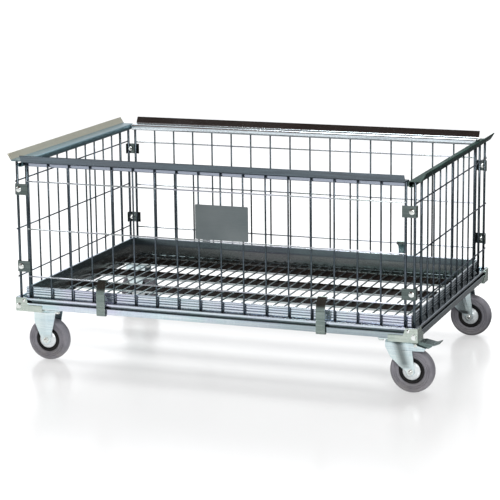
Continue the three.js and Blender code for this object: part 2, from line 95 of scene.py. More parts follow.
def roundCorners(line, radius, steps=4, closed=True):
    # Each corner becomes an arc that touches both of its sides, as large as the radius or the sides allow.
    line = np.array(line, float)
    back, ahead = np.roll(line, 1, axis=0) - line, np.roll(line, -1, axis=0) - line
    backLength, aheadLength = np.linalg.norm(back, axis=1), np.linalg.norm(ahead, axis=1)
    back, ahead = back / backLength[:, None], ahead / aheadLength[:, None]
    turn = math.pi - np.arccos(np.clip((back * ahead).sum(1), -1, 1))
    turn = np.maximum(turn, 1e-4)
    reach = np.minimum(radius * np.tan(turn / 2), 0.46 * np.minimum(backLength, aheadLength))
    start, end = line + back * reach[:, None], line + ahead * reach[:, None]
    radii = reach / np.tan(turn / 2)
    inwards = back + ahead
    inwards = inwards / np.maximum(np.linalg.norm(inwards, axis=1), 1e-9)[:, None]
    centre = line + inwards * (radii / np.cos(turn / 2))[:, None]
    share = np.linspace(0, 1, steps + 1)[None, :, None]
    angle = turn[:, None, None]
    arcs = (np.sin((1 - share) * angle) * (start - centre)[:, None]
            + np.sin(share * angle) * (end - centre)[:, None])
    points = centre[:, None] + arcs / np.sin(angle)
    if closed:
        return points.reshape(-1, 2)
    return np.vstack([line[:1], points[1:-1].reshape(-1, 2), line[-1:]])


def sheetOutline(line, thickness, bend, steps=5):
    # Sheet bent along a line: the rounded line moved half the thickness to each side, and closed.
    path = roundCorners(line, bend, steps, closed=False)
    step = np.diff(path, axis=0)
    step = step / np.linalg.norm(step, axis=1)[:, None]
    into, out = np.vstack([step[:1], step]), np.vstack([step, step[-1:]])
    tangent = into + out
    lean = np.linalg.norm(tangent, axis=1)[:, None] / 2
    normal = np.stack([-tangent[:, 1], tangent[:, 0]], axis=1) / (2 * lean)
    offset = normal * thickness / 2 / lean
    return np.vstack([path + offset, (path - offset)[::-1]])


def extrude(outline, low, high, place):
    # An outline carried from low to high; place turns (first, second, along) into x, y, z.
    outline = np.array(outline, float)
    low, high = np.broadcast_to(low, len(outline)), np.broadcast_to(high, len(outline))
    rows = [np.stack(place(outline[:, 0], outline[:, 1], along), axis=-1) for along in (low, high)]
    return gridShape(np.stack(rows), caps=True)


def lathe(profile, segments, closed=True):
    # A profile of (radius, distance) turned about the Y axis.
    profile = np.array(profile, float)
    angle = np.linspace(0, 2 * math.pi, segments, endpoint=False)[:, None]
    radius, along = profile[None, :, 0], profile[None, :, 1]
    grid = np.stack([radius * np.cos(angle), along + 0 * angle, radius * np.sin(angle)], axis=-1)
    return gridShape(grid, closeRows=True, closeColumns=closed)


def plug(radius, low, high, segments):
    # A plain round along Y, for washers, pins and sleeves.
    return lathe([(0, low), (radius, low), (radius, high), (0, high)], segments, closed=False)


def rod(start, end, radius, sides=12, chamfer=0.0006):
    # A straight round wire with broken edges at both cut ends.
    start, end = np.array(start, float), np.array(end, float)
    axis = (end - start) / np.linalg.norm(end - start)
    side = np.cross(axis, [0, 0, 1.0] if abs(axis[2]) < 0.9 else [1.0, 0, 0])
    side = side / np.linalg.norm(side)
    other = np.cross(axis, side)
    angle = np.linspace(0, 2 * math.pi, sides, endpoint=False)
    circle = np.cos(angle)[:, None] * side + np.sin(angle)[:, None] * other
    length = np.linalg.norm(end - start)
    along = np.array([0, chamfer, length - chamfer, length])
    thick = np.array([radius - chamfer, radius, radius, radius - chamfer])
    grid = start + axis * along[:, None, None] + circle[None] * thick[:, None, None]
    return gridShape(grid, caps=True)


def blob(centre, size, around=8, rings=5):
    # A squashed ball, used for the nuggets that spot welding leaves.
    up = np.linspace(-math.pi / 2, math.pi / 2, rings)[:, None]
    turn = np.linspace(0, 2 * math.pi, around, endpoint=False)[None]
    ball = np.stack([np.cos(up) * np.cos(turn), np.cos(up) * np.sin(turn), np.sin(up) + 0 * turn], axis=-1)
    return gridShape(ball * np.array(size) + np.array(centre))


def weldBead(start, end, radius, sides=10):
    # A seam of weld metal: a tube whose radius ripples every two radii, with tapered ends.
    start, end = np.array(start, float), np.array(end, float)
    length = np.linalg.norm(end - start)
    share = np.linspace(0, 1, max(int(length / radius * 3), 8))
    ripple = 1 + 0.16 * np.abs(np.sin(share * length / radius * math.pi / 2))
    thick = radius * ripple * np.sqrt(np.clip(1 - (2 * share - 1) ** 16, 0.02, 1))
    axis = (end - start) / length
    side = np.cross(axis, [0, 0, 1.0] if abs(axis[2]) < 0.9 else [1.0, 0, 0])
    side = side / np.linalg.norm(side)
    angle = np.linspace(0, 2 * math.pi, sides, endpoint=False)
    circle = np.cos(angle)[:, None] * side + np.sin(angle)[:, None] * np.cross(axis, side)
    grid = start + (end - start) * share[:, None, None] + circle[None] * thick[:, None, None]
    return gridShape(grid, caps=True)


def hexHead(across, height, chamfer=0.18, steps=4):
    # A hexagon along Y from 0 to height: distance to the flat is half its width, and both ends are
    # turned back to a circle.
    sides = 6 * steps
    angle = np.linspace(0, 2 * math.pi, sides, endpoint=False)
    flat = across / 2
    hexagon = flat / np.cos((angle + math.pi / 6) % (math.pi / 3) - math.pi / 6)
    turned = np.minimum(hexagon, flat * 1.02)
    cut = height * chamfer
    levels = [(0 * angle, 0), (turned * 0.96, 0), (hexagon, cut), (hexagon, height - cut),
              (turned * 0.96, height), (0 * angle, height)]
    grid = [np.stack([r * np.cos(angle), y + 0 * angle, r * np.sin(angle)], axis=-1) for r, y in levels]
    return gridShape(np.stack(grid), closeRows=False)


def domeHead(radius, height, segments=24):
    # A carriage bolt's head along Y: a short rim under a part of a sphere.
    rim = 0.22 * height
    share = np.linspace(0, math.pi / 2, 7)
    arc = np.stack([radius * np.cos(share), rim + (height - rim) * np.sin(share)], axis=1)
    profile = np.vstack([[0, 0], [radius, 0], arc[:-1], [0, height]])
    return lathe(profile, segments, closed=False)


def threadStub(radius, length, pitch=0.0015, segments=16):
    # The end of a screw along Y: its radius falls and rises once for each pitch.
    along = np.arange(0, length - pitch / 4, pitch / 2)
    radii = radius * np.where(np.arange(len(along)) % 2, 0.88, 1.0)
    profile = np.vstack([[0, 0], np.stack([radii, along], axis=1), [radius * 0.8, length], [0, length]])
    return lathe(profile, segments, closed=False)


def pressedPlate(outlines, thickness, edge):
    # Flat sheet with rounded rims, drawn as outlines in XY: the first is its edge, the others are holes.
    curve = bpy.data.curves.new("plateOutline", "CURVE")
    curve.dimensions, curve.fill_mode = "2D", "BOTH"
    curve.extrude, curve.bevel_depth, curve.offset = thickness / 2 - edge, edge, -edge
    curve.bevel_resolution = 2
    for outline in outlines:
        spline = curve.splines.new("POLY")
        spline.points.add(len(outline) - 1)
        flat = np.column_stack([outline, np.zeros(len(outline)), np.ones(len(outline))])
        spline.points.foreach_set("co", flat.ravel())
        spline.use_cyclic_u = True
    holder = bpy.data.objects.new("plateOutline", curve)
    bpy.context.scene.collection.objects.link(holder)
    mesh = bpy.data.meshes.new_from_object(holder.evaluated_get(bpy.context.evaluated_depsgraph_get()))
    points, loops = np.zeros(len(mesh.vertices) * 3), np.zeros(len(mesh.loops), int)
    sizes = np.zeros(len(mesh.polygons), int)
    mesh.vertices.foreach_get("co", points)
    mesh.loops.foreach_get("vertex_index", loops)
    mesh.polygons.foreach_get("loop_total", sizes)
    bpy.data.objects.remove(holder)
    bpy.data.curves.remove(curve)
    bpy.data.meshes.remove(mesh)
    return points.reshape(-1, 3), loops, sizes


def ellipse(x, y, radiusX, radiusY, count=20, clockwise=False):
    angle = np.linspace(0, 2 * math.pi, count, endpoint=False) * (-1 if clockwise else 1)
    return np.column_stack([x + radiusX * np.cos(angle), y + radiusY * np.sin(angle)])


def boxOf(node):
    low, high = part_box(node)
    return np.array(low), np.array(high)


def sideOf(node, quarter):
    # A side's box, then how far its outer face is from the middle, half its run, its width and its height.
    low, high = boxOf(node)
    size = high - low
    return low, [-low[1], high[0], high[1],
                 -low[0]][quarter], size[quarter % 2] / 2, size[1 - quarter % 2], size[2]


def labelOf(corner):
    return corner.title().replace("_", "")


standsUp = np.array([[1, 0, 0], [0, 0, -1], [0, 1, 0]])  # turns +Y to +Z
hangsDown = np.array([[1, 0, 0], [0, 0, 1], [0, -1, 0]])  # turns +Y to -Z
facesFront = np.array([[-1, 0, 0], [0, -1, 0], [0, 0, 1]])  # turns +Y to -Y


def nodeGroup(name, inputs, outputs):
    group = bpy.data.node_groups.new(name, "ShaderNodeTree")
    for label, kind, value in inputs:
        socket = group.interface.new_socket(label, in_out="INPUT", socket_type="NodeSocket" + kind)
        if value is not None:
            socket.default_value = value
    for label, kind in outputs:
        group.interface.new_socket(label, in_out="OUTPUT", socket_type="NodeSocket" + kind)
    return group, group.nodes.new("NodeGroupInput"), group.nodes.new("NodeGroupOutput")


def noiseNode(tree, vector, scale, detail=4, roughness=0.6, distortion=0.0):
    noise = tree.nodes.new("ShaderNodeTexNoise")
    noise.inputs["Detail"].default_value = detail
    noise.inputs["Roughness"].default_value = roughness
    noise.inputs["Distortion"].default_value = distortion
    tree.links.new(vector, noise.inputs["Vector"])
    if isinstance(scale, (int, float)):
        noise.inputs["Scale"].default_value = scale
    else:
        tree.links.new(scale, noise.inputs["Scale"])
    return noise.outputs["Fac"]


def rangeNode(tree, value, fromLow, fromHigh, low=0.0, high=1.0):
    node = tree.nodes.new("ShaderNodeMapRange")
    node.inputs["From Min"].default_value, node.inputs["From Max"].default_value = fromLow, fromHigh
    tree.links.new(value, node.inputs["Value"])
    for label, limit in (("To Min", low), ("To Max", high)):
        if isinstance(limit, (int, float)):
            node.inputs[label].default_value = limit
        else:
            tree.links.new(limit, node.inputs[label])
    return node.outputs["Result"]


def mixNode(tree, factor, first, second, mode="MIX"):
    node = tree.nodes.new("ShaderNodeMix")
    node.data_type, node.blend_type = "RGBA", mode
    for socket, value in ((node.inputs["Factor"], factor), (node.inputs["A"], first),
                          (node.inputs["B"], second)):
        if isinstance(value, bpy.types.NodeSocket):
            tree.links.new(value, socket)
        else:
            socket.default_value = value
    return node.outputs["Result"]


def splitNode(tree, vector):
    split = tree.nodes.new("ShaderNodeSeparateXYZ")
    tree.links.new(vector, split.inputs[0])
    return split


def mathNode(tree, operation, first, second=0.0):
    node = tree.nodes.new("ShaderNodeMath")
    node.operation = operation
    for socket, value in zip(node.inputs, (first, second)):
        if isinstance(value, bpy.types.NodeSocket):
            tree.links.new(value, socket)
        else:
            socket.default_value = value
    return node.outputs[0]


def scaledVector(tree, vector, scale):
    node = tree.nodes.new("ShaderNodeVectorMath")
    node.operation = "MULTIPLY"
    tree.links.new(vector, node.inputs[0])
    node.inputs[1].default_value = scale
    return node.outputs["Vector"]


webLow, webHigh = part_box("base_rail_right")
railWidth, ledgeWidth, webWidth = webHigh[0] - webLow[0], 0.031, 0.0065
# Where painted shade goes on the base rails: inside the webs, in the groove behind the bead and on the right
# rail.
paintedShadeBounds = {"halfLength": webLow[0] + ledgeWidth + webWidth / 2, "top": webHigh[2],
           "groove": railWidth - ledgeWidth - webWidth / 2 - 0.007, "grooveTop": webLow[2] + 0.0305,
           "halfWidth": -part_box("base_rail_front")[0][1] - railWidth + ledgeWidth + webWidth / 2}


def buildZincGroup():
    # Zinc plating: broad clouds between two passivation tints, a third tint in thin bands, dark specks where
    # handling has scuffed it, a fine crystalline grain, and painted shade inside the rail webs and in the groove
    # behind the bead.
    group, given, made = nodeGroup(
        "zincPlating",
        [("Vector", "Vector", None), ("Tint", "Color", (0.6, 0.66, 0.68, 1)),
         ("Cloud", "Color", (0.7, 0.7, 0.8, 1)),
         ("Band", "Color", (0.8, 0.85, 0.8, 1)), ("Cloud Scale", "Float", 9.0), ("Streak", "Float", 0.35),
         ("Rough", "Float", 0.3), ("Soil", "Float", 0.0)],
        [("Color", "Color"), ("Roughness", "Float"), ("Height", "Float")])
    vector = given.outputs["Vector"]
    cloud = rangeNode(group, noiseNode(group, vector, given.outputs["Cloud Scale"], 5, 0.55, 0.4), 0.34, 0.66)
    lengthwise = noiseNode(group, scaledVector(group, vector, (1.2, 1.2, 60)), 6.0, 3, 0.6)
    across = noiseNode(group, scaledVector(group, vector, (60, 60, 1.2)), 4.0, 3, 0.6)
    streak = mathNode(group, "MULTIPLY", rangeNode(group, lengthwise, 0.42, 0.62), given.outputs["Streak"])
    grain = noiseNode(group, vector, 900.0, 2, 0.5)
    speck = rangeNode(group, noiseNode(group, vector, 210.0, 3, 0.7), 0.66, 0.78)
    color = mixNode(group, cloud, given.outputs["Tint"], given.outputs["Cloud"])
    color = mixNode(group, streak, color, given.outputs["Band"])
    shade = rangeNode(group, grain, 0.25, 0.75, 0.9, 1.08)
    brush = rangeNode(group, across, 0.3, 0.7, 0.95, 1.04)
    combined = mathNode(group, "MULTIPLY", shade, brush)
    grey = group.nodes.new("ShaderNodeCombineColor")
    for channel in ("Red", "Green", "Blue"):
        group.links.new(combined, grey.inputs[channel])
    color = mixNode(group, 1.0, color, grey.outputs[0], "MULTIPLY")
    dulled = mathNode(group, "MULTIPLY", speck, 0.35)
    color = mixNode(group, dulled, color, (0.23, 0.22, 0.2, 1))
    # Painted shade darkens the inner faces of the webs, and a painted shadow fills the groove behind the bead.
    split = splitNode(group, vector)
    pastX = mathNode(group, "SUBTRACT", mathNode(group, "ABSOLUTE", split.outputs["X"]),
                     paintedShadeBounds["halfLength"])
    pastY = mathNode(group, "SUBTRACT", mathNode(group, "ABSOLUTE", split.outputs["Y"]), paintedShadeBounds["halfWidth"])
    past = mathNode(group, "MAXIMUM", pastX, pastY)
    paintedShade = 0.0
    for reach, top in ((0.0, paintedShadeBounds["top"]), (paintedShadeBounds["groove"], paintedShadeBounds["grooveTop"])):
        inside = rangeNode(group, past, reach - 0.0008, reach + 0.0008, 1, 0)
        low = rangeNode(group, split.outputs["Z"], top - 0.0025, top - 0.0005, 1, 0)
        paintedShade = mathNode(group, "MAXIMUM", mathNode(group, "MULTIPLY", inside, low), paintedShade)
    paintedShade = mathNode(group, "MULTIPLY", paintedShade, given.outputs["Soil"])
    # Inside the webs the painted shade is slate above, black along a painted shadow line and greyer below it.
    deep = mathNode(group, "SUBTRACT", paintedShadeBounds["top"], split.outputs["Z"])
    facing = rangeNode(group, past, -0.0008, 0.0008, 1, 0)
    lower = mathNode(group, "MULTIPLY", rangeNode(group, deep, 0.021, 0.022), facing)
    line = mathNode(group, "MULTIPLY", rangeNode(group, deep, 0.0185, 0.0195),
                    rangeNode(group, deep, 0.0225, 0.0235, 1, 0))
    paintedShadeColor = mixNode(group, lower, (0.045, 0.07, 0.07, 1), (0.15, 0.15, 0.13, 1))
    paintedShadeColor = mixNode(group, line, paintedShadeColor, (0.012, 0.018, 0.018, 1))
    color = mixNode(group, paintedShade, color, paintedShadeColor)
    group.links.new(color, made.inputs["Color"])
    uneven = mathNode(group, "ADD", given.outputs["Rough"], rangeNode(group, cloud, 0, 1, -0.05, 0.09))
    uneven = mathNode(group, "ADD", uneven, mathNode(group, "MULTIPLY", speck, 0.22))
    group.links.new(uneven, made.inputs["Roughness"])
    group.links.new(mathNode(group, "ADD", grain, mathNode(group, "MULTIPLY", across, 0.6)),
                    made.inputs["Height"])
    return group


def buildDustGroup():
    # Pale dust that settles low down: strongest under Full Below, gone above Clear Above, broken up by noise.
    group, given, made = nodeGroup(
        "floorDust",
        [("Vector", "Vector", None), ("Color", "Color", (0.5, 0.5, 0.5, 1)),
         ("Dust", "Color", (0.6, 0.57, 0.52, 1)),
         ("Amount", "Float", 0.4), ("Full Below", "Float", 0.02), ("Clear Above", "Float", 0.16)],
        [("Color", "Color"), ("Mask", "Float")])
    split = splitNode(group, given.outputs["Vector"])
    height = group.nodes.new("ShaderNodeMapRange")
    group.links.new(split.outputs["Z"], height.inputs["Value"])
    group.links.new(given.outputs["Full Below"], height.inputs["From Min"])
    group.links.new(given.outputs["Clear Above"], height.inputs["From Max"])
    height.inputs["To Min"].default_value, height.inputs["To Max"].default_value = 1.0, 0.0
    patches = rangeNode(group, noiseNode(group, given.outputs["Vector"], 35.0, 6, 0.7), 0.35, 0.7)
    mask = mathNode(group, "MULTIPLY", height.outputs["Result"], patches)
    mask = mathNode(group, "MULTIPLY", mask, given.outputs["Amount"])
    group.links.new(mixNode(group, mask, given.outputs["Color"], given.outputs["Dust"]), made.inputs["Color"])
    group.links.new(mask, made.inputs["Mask"])
    return group


zincGroup, dustGroup = buildZincGroup(), buildDustGroup()


def startMaterial(name):
    material = bpy.data.materials.new(name)
    material.use_nodes = True
    tree = material.node_tree
    shader = next(n for n in tree.nodes if n.type == "BSDF_PRINCIPLED")
    place = tree.nodes.new("ShaderNodeTexCoord")
    return material, tree, shader, place.outputs["Object"]


def placeGroup(tree, group, values, links):
    node = tree.nodes.new("ShaderNodeGroup")
    node.node_tree = group
    for label, value in values.items():
        node.inputs[label].default_value = value
    for label, source in links.items():
        tree.links.new(source, node.inputs[label])
    return node


def bumpFrom(tree, shader, height, strength, distance):
    bump = tree.nodes.new("ShaderNodeBump")
    bump.inputs["Strength"].default_value = strength
    bump.inputs["Distance"].default_value = distance
    tree.links.new(height, bump.inputs["Height"])
    tree.links.new(bump.outputs["Normal"], shader.inputs["Normal"])


channelLow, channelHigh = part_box("floor_channel_1")
# Painted brown shade inside the floor channels.
channelShadeValues = {"pitch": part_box("floor_channel_2")[0][1] - channelLow[1], "sheet": 0.002, "amount": 0.93,
                "color": (0.045, 0.026, 0.018, 1), "half": (channelHigh[1] - channelLow[1]) / 2}


def paintChannelShade(tree, vector, color):
    # Painted brown shade lies inside each channel: wherever the distance to the nearest channel's middle is less
    # than half its inner width. Channels repeat every pitch, half a pitch to each side of the middle.
    v = channelShadeValues
    split = splitNode(tree, vector)
    wave = mathNode(tree, "PINGPONG", mathNode(tree, "ABSOLUTE", split.outputs["Y"]), v["pitch"] / 2)
    distance = mathNode(tree, "SUBTRACT", v["pitch"] / 2, wave)
    inside = rangeNode(tree, distance, v["half"] - v["sheet"] * 0.8, v["half"] - v["sheet"] * 0.4,
                       v["amount"], 0)
    above = rangeNode(tree, split.outputs["Z"], channelLow[2] + 0.001, channelLow[2] + 0.0015)
    rim = rangeNode(tree, split.outputs["Z"], channelHigh[2] - 0.001, channelHigh[2] - 0.0004, 1, 0)
    mask = mathNode(tree, "MULTIPLY", mathNode(tree, "MULTIPLY", inside, above), rim)
    return mixNode(tree, mask, color, v["color"])


# Painted shade on the base rails: the flange towards the swivelling castors, and the whole right rail.
flangeShadeValues = {"fromX": -0.15, "toX": 0.3, "top": webLow[2] + 0.018, "amount": 0.62,
                 "color": (0.16, 0.23, 0.22, 1),
                 "rightAmount": 0.8, "rightColor": (0.10, 0.12, 0.13, 1)}


def paintFlangeShade(tree, vector, color):
    # Painted shade: the outer flange is darker towards the swivelling castors.
    v = flangeShadeValues
    split = splitNode(tree, vector)
    along = rangeNode(tree, split.outputs["X"], v["fromX"], v["toX"], 0, v["amount"])
    low = rangeNode(tree, split.outputs["Z"], v["top"], v["top"] + 0.002, 1, 0)
    color = mixNode(tree, mathNode(tree, "MULTIPLY", along, low), color, v["color"])
    # Painted shade: the right rail, past the diagonals at its ends, is darker all over.
    pastX = mathNode(tree, "SUBTRACT", split.outputs["X"], paintedShadeBounds["halfLength"])
    pastY = mathNode(tree, "SUBTRACT", mathNode(tree, "ABSOLUTE", split.outputs["Y"]), paintedShadeBounds["halfWidth"])
    beyond = rangeNode(tree, mathNode(tree, "SUBTRACT", pastX, pastY), -0.001, 0.001)
    right = mathNode(tree, "MULTIPLY", beyond, rangeNode(tree, pastX, -0.004, -0.003))
    return mixNode(tree, mathNode(tree, "MULTIPLY", right, v["rightAmount"]), color, v["rightColor"])


forkPlate = np.array(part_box("castor_plate_front_right"))
# Painted dark reflection band on the swivelling forks.
forkBandValues = {"above": 0.13, "core": 0.003, "most": 0.85, "x": forkPlate[:, 0].mean() + 0.006, "lean": 0.32,
              "half": 0.020, "from": 0.072, "to": 0.085,
              "color": (0.10, 0.12, 0.12, 1)}


def paintForkReflectionBand(tree, vector, color):
    # A painted dark reflection band runs down the middle of each swivelling fork: the mask falls evenly from core
    # to half, measured from a line that leans with the fork.
    v = forkBandValues
    split = splitNode(tree, vector)
    lean = mathNode(tree, "MULTIPLY", split.outputs["Z"], v["lean"])
    middle = mathNode(tree, "SUBTRACT", v["x"] + v["above"] * v["lean"], lean)
    off = mathNode(tree, "ABSOLUTE", mathNode(tree, "SUBTRACT", split.outputs["X"], middle))
    near = rangeNode(tree, off, v["core"], v["half"], v["most"], 0)
    high = rangeNode(tree, split.outputs["Z"], v["from"], v["to"])
    return mixNode(tree, mathNode(tree, "MULTIPLY", near, high), color, v["color"])


def zincMaterial(name, values):
    material, tree, shader, vector = startMaterial(name)
    named = {label: value for label, value in values.items() if label[0].isupper()}
    zinc = placeGroup(tree, zincGroup, named, {"Vector": vector})
    dust = placeGroup(tree, dustGroup, {"Amount": values["dust"]},
                      {"Vector": vector, "Color": zinc.outputs["Color"]})
    color = dust.outputs["Color"]
    if name == "channelZinc":
        color = paintChannelShade(tree, vector, color)
    if name == "baseZinc":
        color = paintFlangeShade(tree, vector, color)
    if "below" in values:  # a painted reflection colour below a height
        height, fade, tint = values["below"]
        split = splitNode(tree, vector)
        color = mixNode(tree, rangeNode(tree, split.outputs["Z"], height, height + fade, 1, 0), color, tint)
    if name == "forkZinc":
        color = paintForkReflectionBand(tree, vector, color)
    if "edge" in values:
        shader.inputs["Specular Tint"].default_value = values["edge"]
    tree.links.new(color, shader.inputs["Base Color"])
    tree.links.new(zinc.outputs["Roughness"], shader.inputs["Roughness"])
    shader.inputs["Metallic"].default_value = values["metallic"]
    bumpFrom(tree, shader, zinc.outputs["Height"], values["bump"], 0.0002)
    return material


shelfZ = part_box("top_rail_left")[1][2] - 0.019
zincFinishes = {
    "baseZinc": {"Tint": (0.52, 0.68, 0.72, 1), "Cloud": (0.62, 0.62, 0.80, 1), "Band": (0.86, 0.93, 0.95, 1),
                 "Cloud Scale": 5.0, "Streak": 0.6, "Rough": 0.14, "Soil": 0.85, "metallic": 0.95,
                 "bump": 0.1, "dust": 0.05},
    "channelZinc": {"Tint": (0.42, 0.50, 0.50, 1), "Cloud": (0.50, 0.52, 0.55, 1),
                    "Band": (0.70, 0.74, 0.72, 1),
                    "Cloud Scale": 9.0, "Streak": 0.4, "Rough": 0.25, "metallic": 0.9, "bump": 0.12,
                    "dust": 0.0,
                    "edge": (0.06, 0.04, 0.035, 1)},
    # The four top rails are one zinc painted as lit and shaded copies: railZinc at the back, slateZinc at the
    # front, darkZinc for the shaded right rail, oliveZinc at the left; each also paints a reflection band below
    # the shelf.
    "railZinc": {"Tint": (0.16, 0.17, 0.17, 1), "Cloud": (0.2, 0.2, 0.2, 1), "Band": (0.28, 0.3, 0.3, 1),
                 "Cloud Scale": 4.0, "Streak": 0.3, "Rough": 0.2, "metallic": 0.95, "bump": 0.05, "dust": 0.0,
                 "below": (shelfZ, 0.003, (0.86, 0.95, 1.0, 1))},
    "slateZinc": {"Tint": (0.105, 0.135, 0.155, 1), "Cloud": (0.13, 0.145, 0.165, 1),
                  "Band": (0.22, 0.28, 0.33, 1),
                  "Cloud Scale": 4.0, "Streak": 0.3, "Rough": 0.22, "metallic": 0.95, "bump": 0.08,
                  "dust": 0.0,
                  "edge": (0.35, 0.38, 0.4, 1), "below": (shelfZ - 0.004, 0.002, (0.36, 0.40, 0.48, 1))},
    "darkZinc": {"Tint": (0.06, 0.09, 0.08, 1), "Cloud": (0.09, 0.12, 0.11, 1), "Band": (0.28, 0.42, 0.38, 1),
                 "Cloud Scale": 4.0, "Streak": 0.4, "Rough": 0.22, "metallic": 0.95, "bump": 0.12,
                 "dust": 0.0,
                 "edge": (0.2, 0.24, 0.23, 1)},
    "oliveZinc": {"Tint": (0.43, 0.41, 0.32, 1), "Cloud": (0.38, 0.38, 0.32, 1),
                  "Band": (0.46, 0.46, 0.40, 1),
                  "Cloud Scale": 4.0, "Streak": 0.4, "Rough": 0.3, "metallic": 0.9, "bump": 0.15, "dust": 0.0,
                  "below": (shelfZ, 0.003, (0.11, 0.19, 0.22, 1))},
    # wireZinc, floorZinc and rowZinc are one zinc wire: floorZinc and rowZinc are lighter copies, painted with
    # the light that the floor wires and the front and back rows catch.
    "wireZinc": {"Tint": (0.055, 0.075, 0.08, 1), "Cloud": (0.08, 0.10, 0.115, 1),
                 "Band": (0.18, 0.20, 0.28, 1),
                 "Cloud Scale": 14.0, "Streak": 0.22, "Rough": 0.22, "metallic": 0.95, "bump": 0.12,
                 "dust": 0.0,
                 "edge": (0.5, 0.52, 0.56, 1)},
    "floorZinc": {"Tint": (0.13, 0.18, 0.18, 1), "Cloud": (0.17, 0.22, 0.23, 1),
                  "Band": (0.30, 0.34, 0.40, 1),
                  "Cloud Scale": 14.0, "Streak": 0.3, "Rough": 0.24, "metallic": 0.95, "bump": 0.12,
                  "dust": 0.0},
    "rowZinc": {"Tint": (0.44, 0.50, 0.49, 1), "Cloud": (0.52, 0.53, 0.62, 1), "Band": (0.62, 0.66, 0.66, 1),
                "Cloud Scale": 7.0, "Streak": 0.2, "Rough": 0.24, "metallic": 0.95, "bump": 0.12,
                "dust": 0.0},
    "bracketZinc": {"Tint": (0.38, 0.46, 0.42, 1), "Cloud": (0.54, 0.60, 0.54, 1),
                    "Band": (0.70, 0.76, 0.71, 1),
                    "Cloud Scale": 22.0, "Streak": 0.35, "Rough": 0.22, "metallic": 0.95, "bump": 0.2,
                    "dust": 0.05},
    "clampZinc": {"Tint": (0.075, 0.10, 0.095, 1), "Cloud": (0.11, 0.14, 0.135, 1),
                  "Band": (0.32, 0.37, 0.36, 1),
                  "Cloud Scale": 25.0, "Streak": 0.3, "Rough": 0.2, "metallic": 0.95, "bump": 0.15,
                  "dust": 0.0},
    "clipZinc": {"Tint": (0.15, 0.20, 0.19, 1), "Cloud": (0.22, 0.27, 0.25, 1), "Band": (0.42, 0.48, 0.46, 1),
                  "Cloud Scale": 25.0, "Streak": 0.3, "Rough": 0.2, "metallic": 0.95, "bump": 0.15,
                  "dust": 0.0},
    "forkZinc": {"Tint": (0.66, 0.79, 0.80, 1), "Cloud": (0.54, 0.67, 0.73, 1), "Band": (0.90, 0.95, 0.94, 1),
                 "Cloud Scale": 18.0, "Streak": 0.45, "Rough": 0.14, "metallic": 0.97, "bump": 0.1,
                 "dust": 0.15},
    "boltZinc": {"Tint": (0.82, 0.86, 0.85, 1), "Cloud": (0.70, 0.72, 0.68, 1), "Band": (0.93, 0.95, 0.95, 1),
                 "Cloud Scale": 60.0, "Streak": 0.2, "Rough": 0.2, "metallic": 1.0, "bump": 0.1, "dust": 0.1},
    "coverZinc": {"Tint": (0.80, 0.86, 0.88, 1), "Cloud": (0.86, 0.90, 0.92, 1),
                  "Band": (0.93, 0.95, 0.95, 1),
                  "Cloud Scale": 40.0, "Streak": 0.3, "Rough": 0.34, "metallic": 0.35, "bump": 0.1,
                  "dust": 0.0},
    "pedalZinc": {"Tint": (0.10, 0.14, 0.14, 1), "Cloud": (0.16, 0.21, 0.20, 1),
                  "Band": (0.40, 0.50, 0.48, 1),
                  "Cloud Scale": 25.0, "Streak": 0.3, "Rough": 0.2, "metallic": 0.95, "bump": 0.15,
                  "dust": 0.0},
    "weldMetal": {"Tint": (0.14, 0.16, 0.16, 1), "Cloud": (0.30, 0.27, 0.24, 1),
                  "Band": (0.46, 0.48, 0.52, 1),
                  "Cloud Scale": 90.0, "Streak": 0.3, "Rough": 0.4, "metallic": 0.85, "bump": 0.5,
                  "dust": 0.0},
}
finishes = {name: zincMaterial(name, values) for name, values in zincFinishes.items()}


def buildRubber():
    # Grey rubber: soft mottling, scuffed lighter patches, fine moulding grain and floor dust.
    material, tree, shader, vector = startMaterial("greyRubber")
    patches = rangeNode(tree, noiseNode(tree, vector, 26.0, 5, 0.6), 0.35, 0.68)
    color = mixNode(tree, patches, (0.18, 0.175, 0.20, 1), (0.27, 0.262, 0.29, 1))
    scuffs = rangeNode(tree, noiseNode(tree, scaledVector(tree, vector, (1, 0.25, 1)), 190.0, 4, 0.7), 0.6,
                       0.74)
    color = mixNode(tree, mathNode(tree, "MULTIPLY", scuffs, 0.4), color, (0.30, 0.29, 0.30, 1))
    dust = placeGroup(tree, dustGroup, {"Amount": 0.55, "Clear Above": 0.05, "Dust": (0.36, 0.34, 0.32, 1)},
                      {"Vector": vector, "Color": color})
    tree.links.new(dust.outputs["Color"], shader.inputs["Base Color"])
    grain = noiseNode(tree, vector, 1400.0, 2, 0.6)
    tree.links.new(rangeNode(tree, patches, 0, 1, 0.5, 0.68), shader.inputs["Roughness"])
    shader.inputs["Specular IOR Level"].default_value = 0.4
    bumpFrom(tree, shader, grain, 0.3, 0.0002)
    return material


def buildPlastic():
    # Black moulded plastic with a trace of dust and a fine sparked texture.
    material, tree, shader, vector = startMaterial("blackPlastic")
    patches = rangeNode(tree, noiseNode(tree, vector, 60.0, 4, 0.6), 0.35, 0.7)
    color = mixNode(tree, patches, (0.003, 0.003, 0.004, 1), (0.01, 0.0095, 0.011, 1))
    dust = placeGroup(tree, dustGroup, {"Amount": 0.04, "Clear Above": 0.1},
                      {"Vector": vector, "Color": color})
    tree.links.new(dust.outputs["Color"], shader.inputs["Base Color"])
    tree.links.new(rangeNode(tree, patches, 0, 1, 0.42, 0.6), shader.inputs["Roughness"])
    shader.inputs["Specular IOR Level"].default_value = 0.2
    bumpFrom(tree, shader, noiseNode(tree, vector, 1700.0, 2, 0.6), 0.25, 0.0002)
    return material


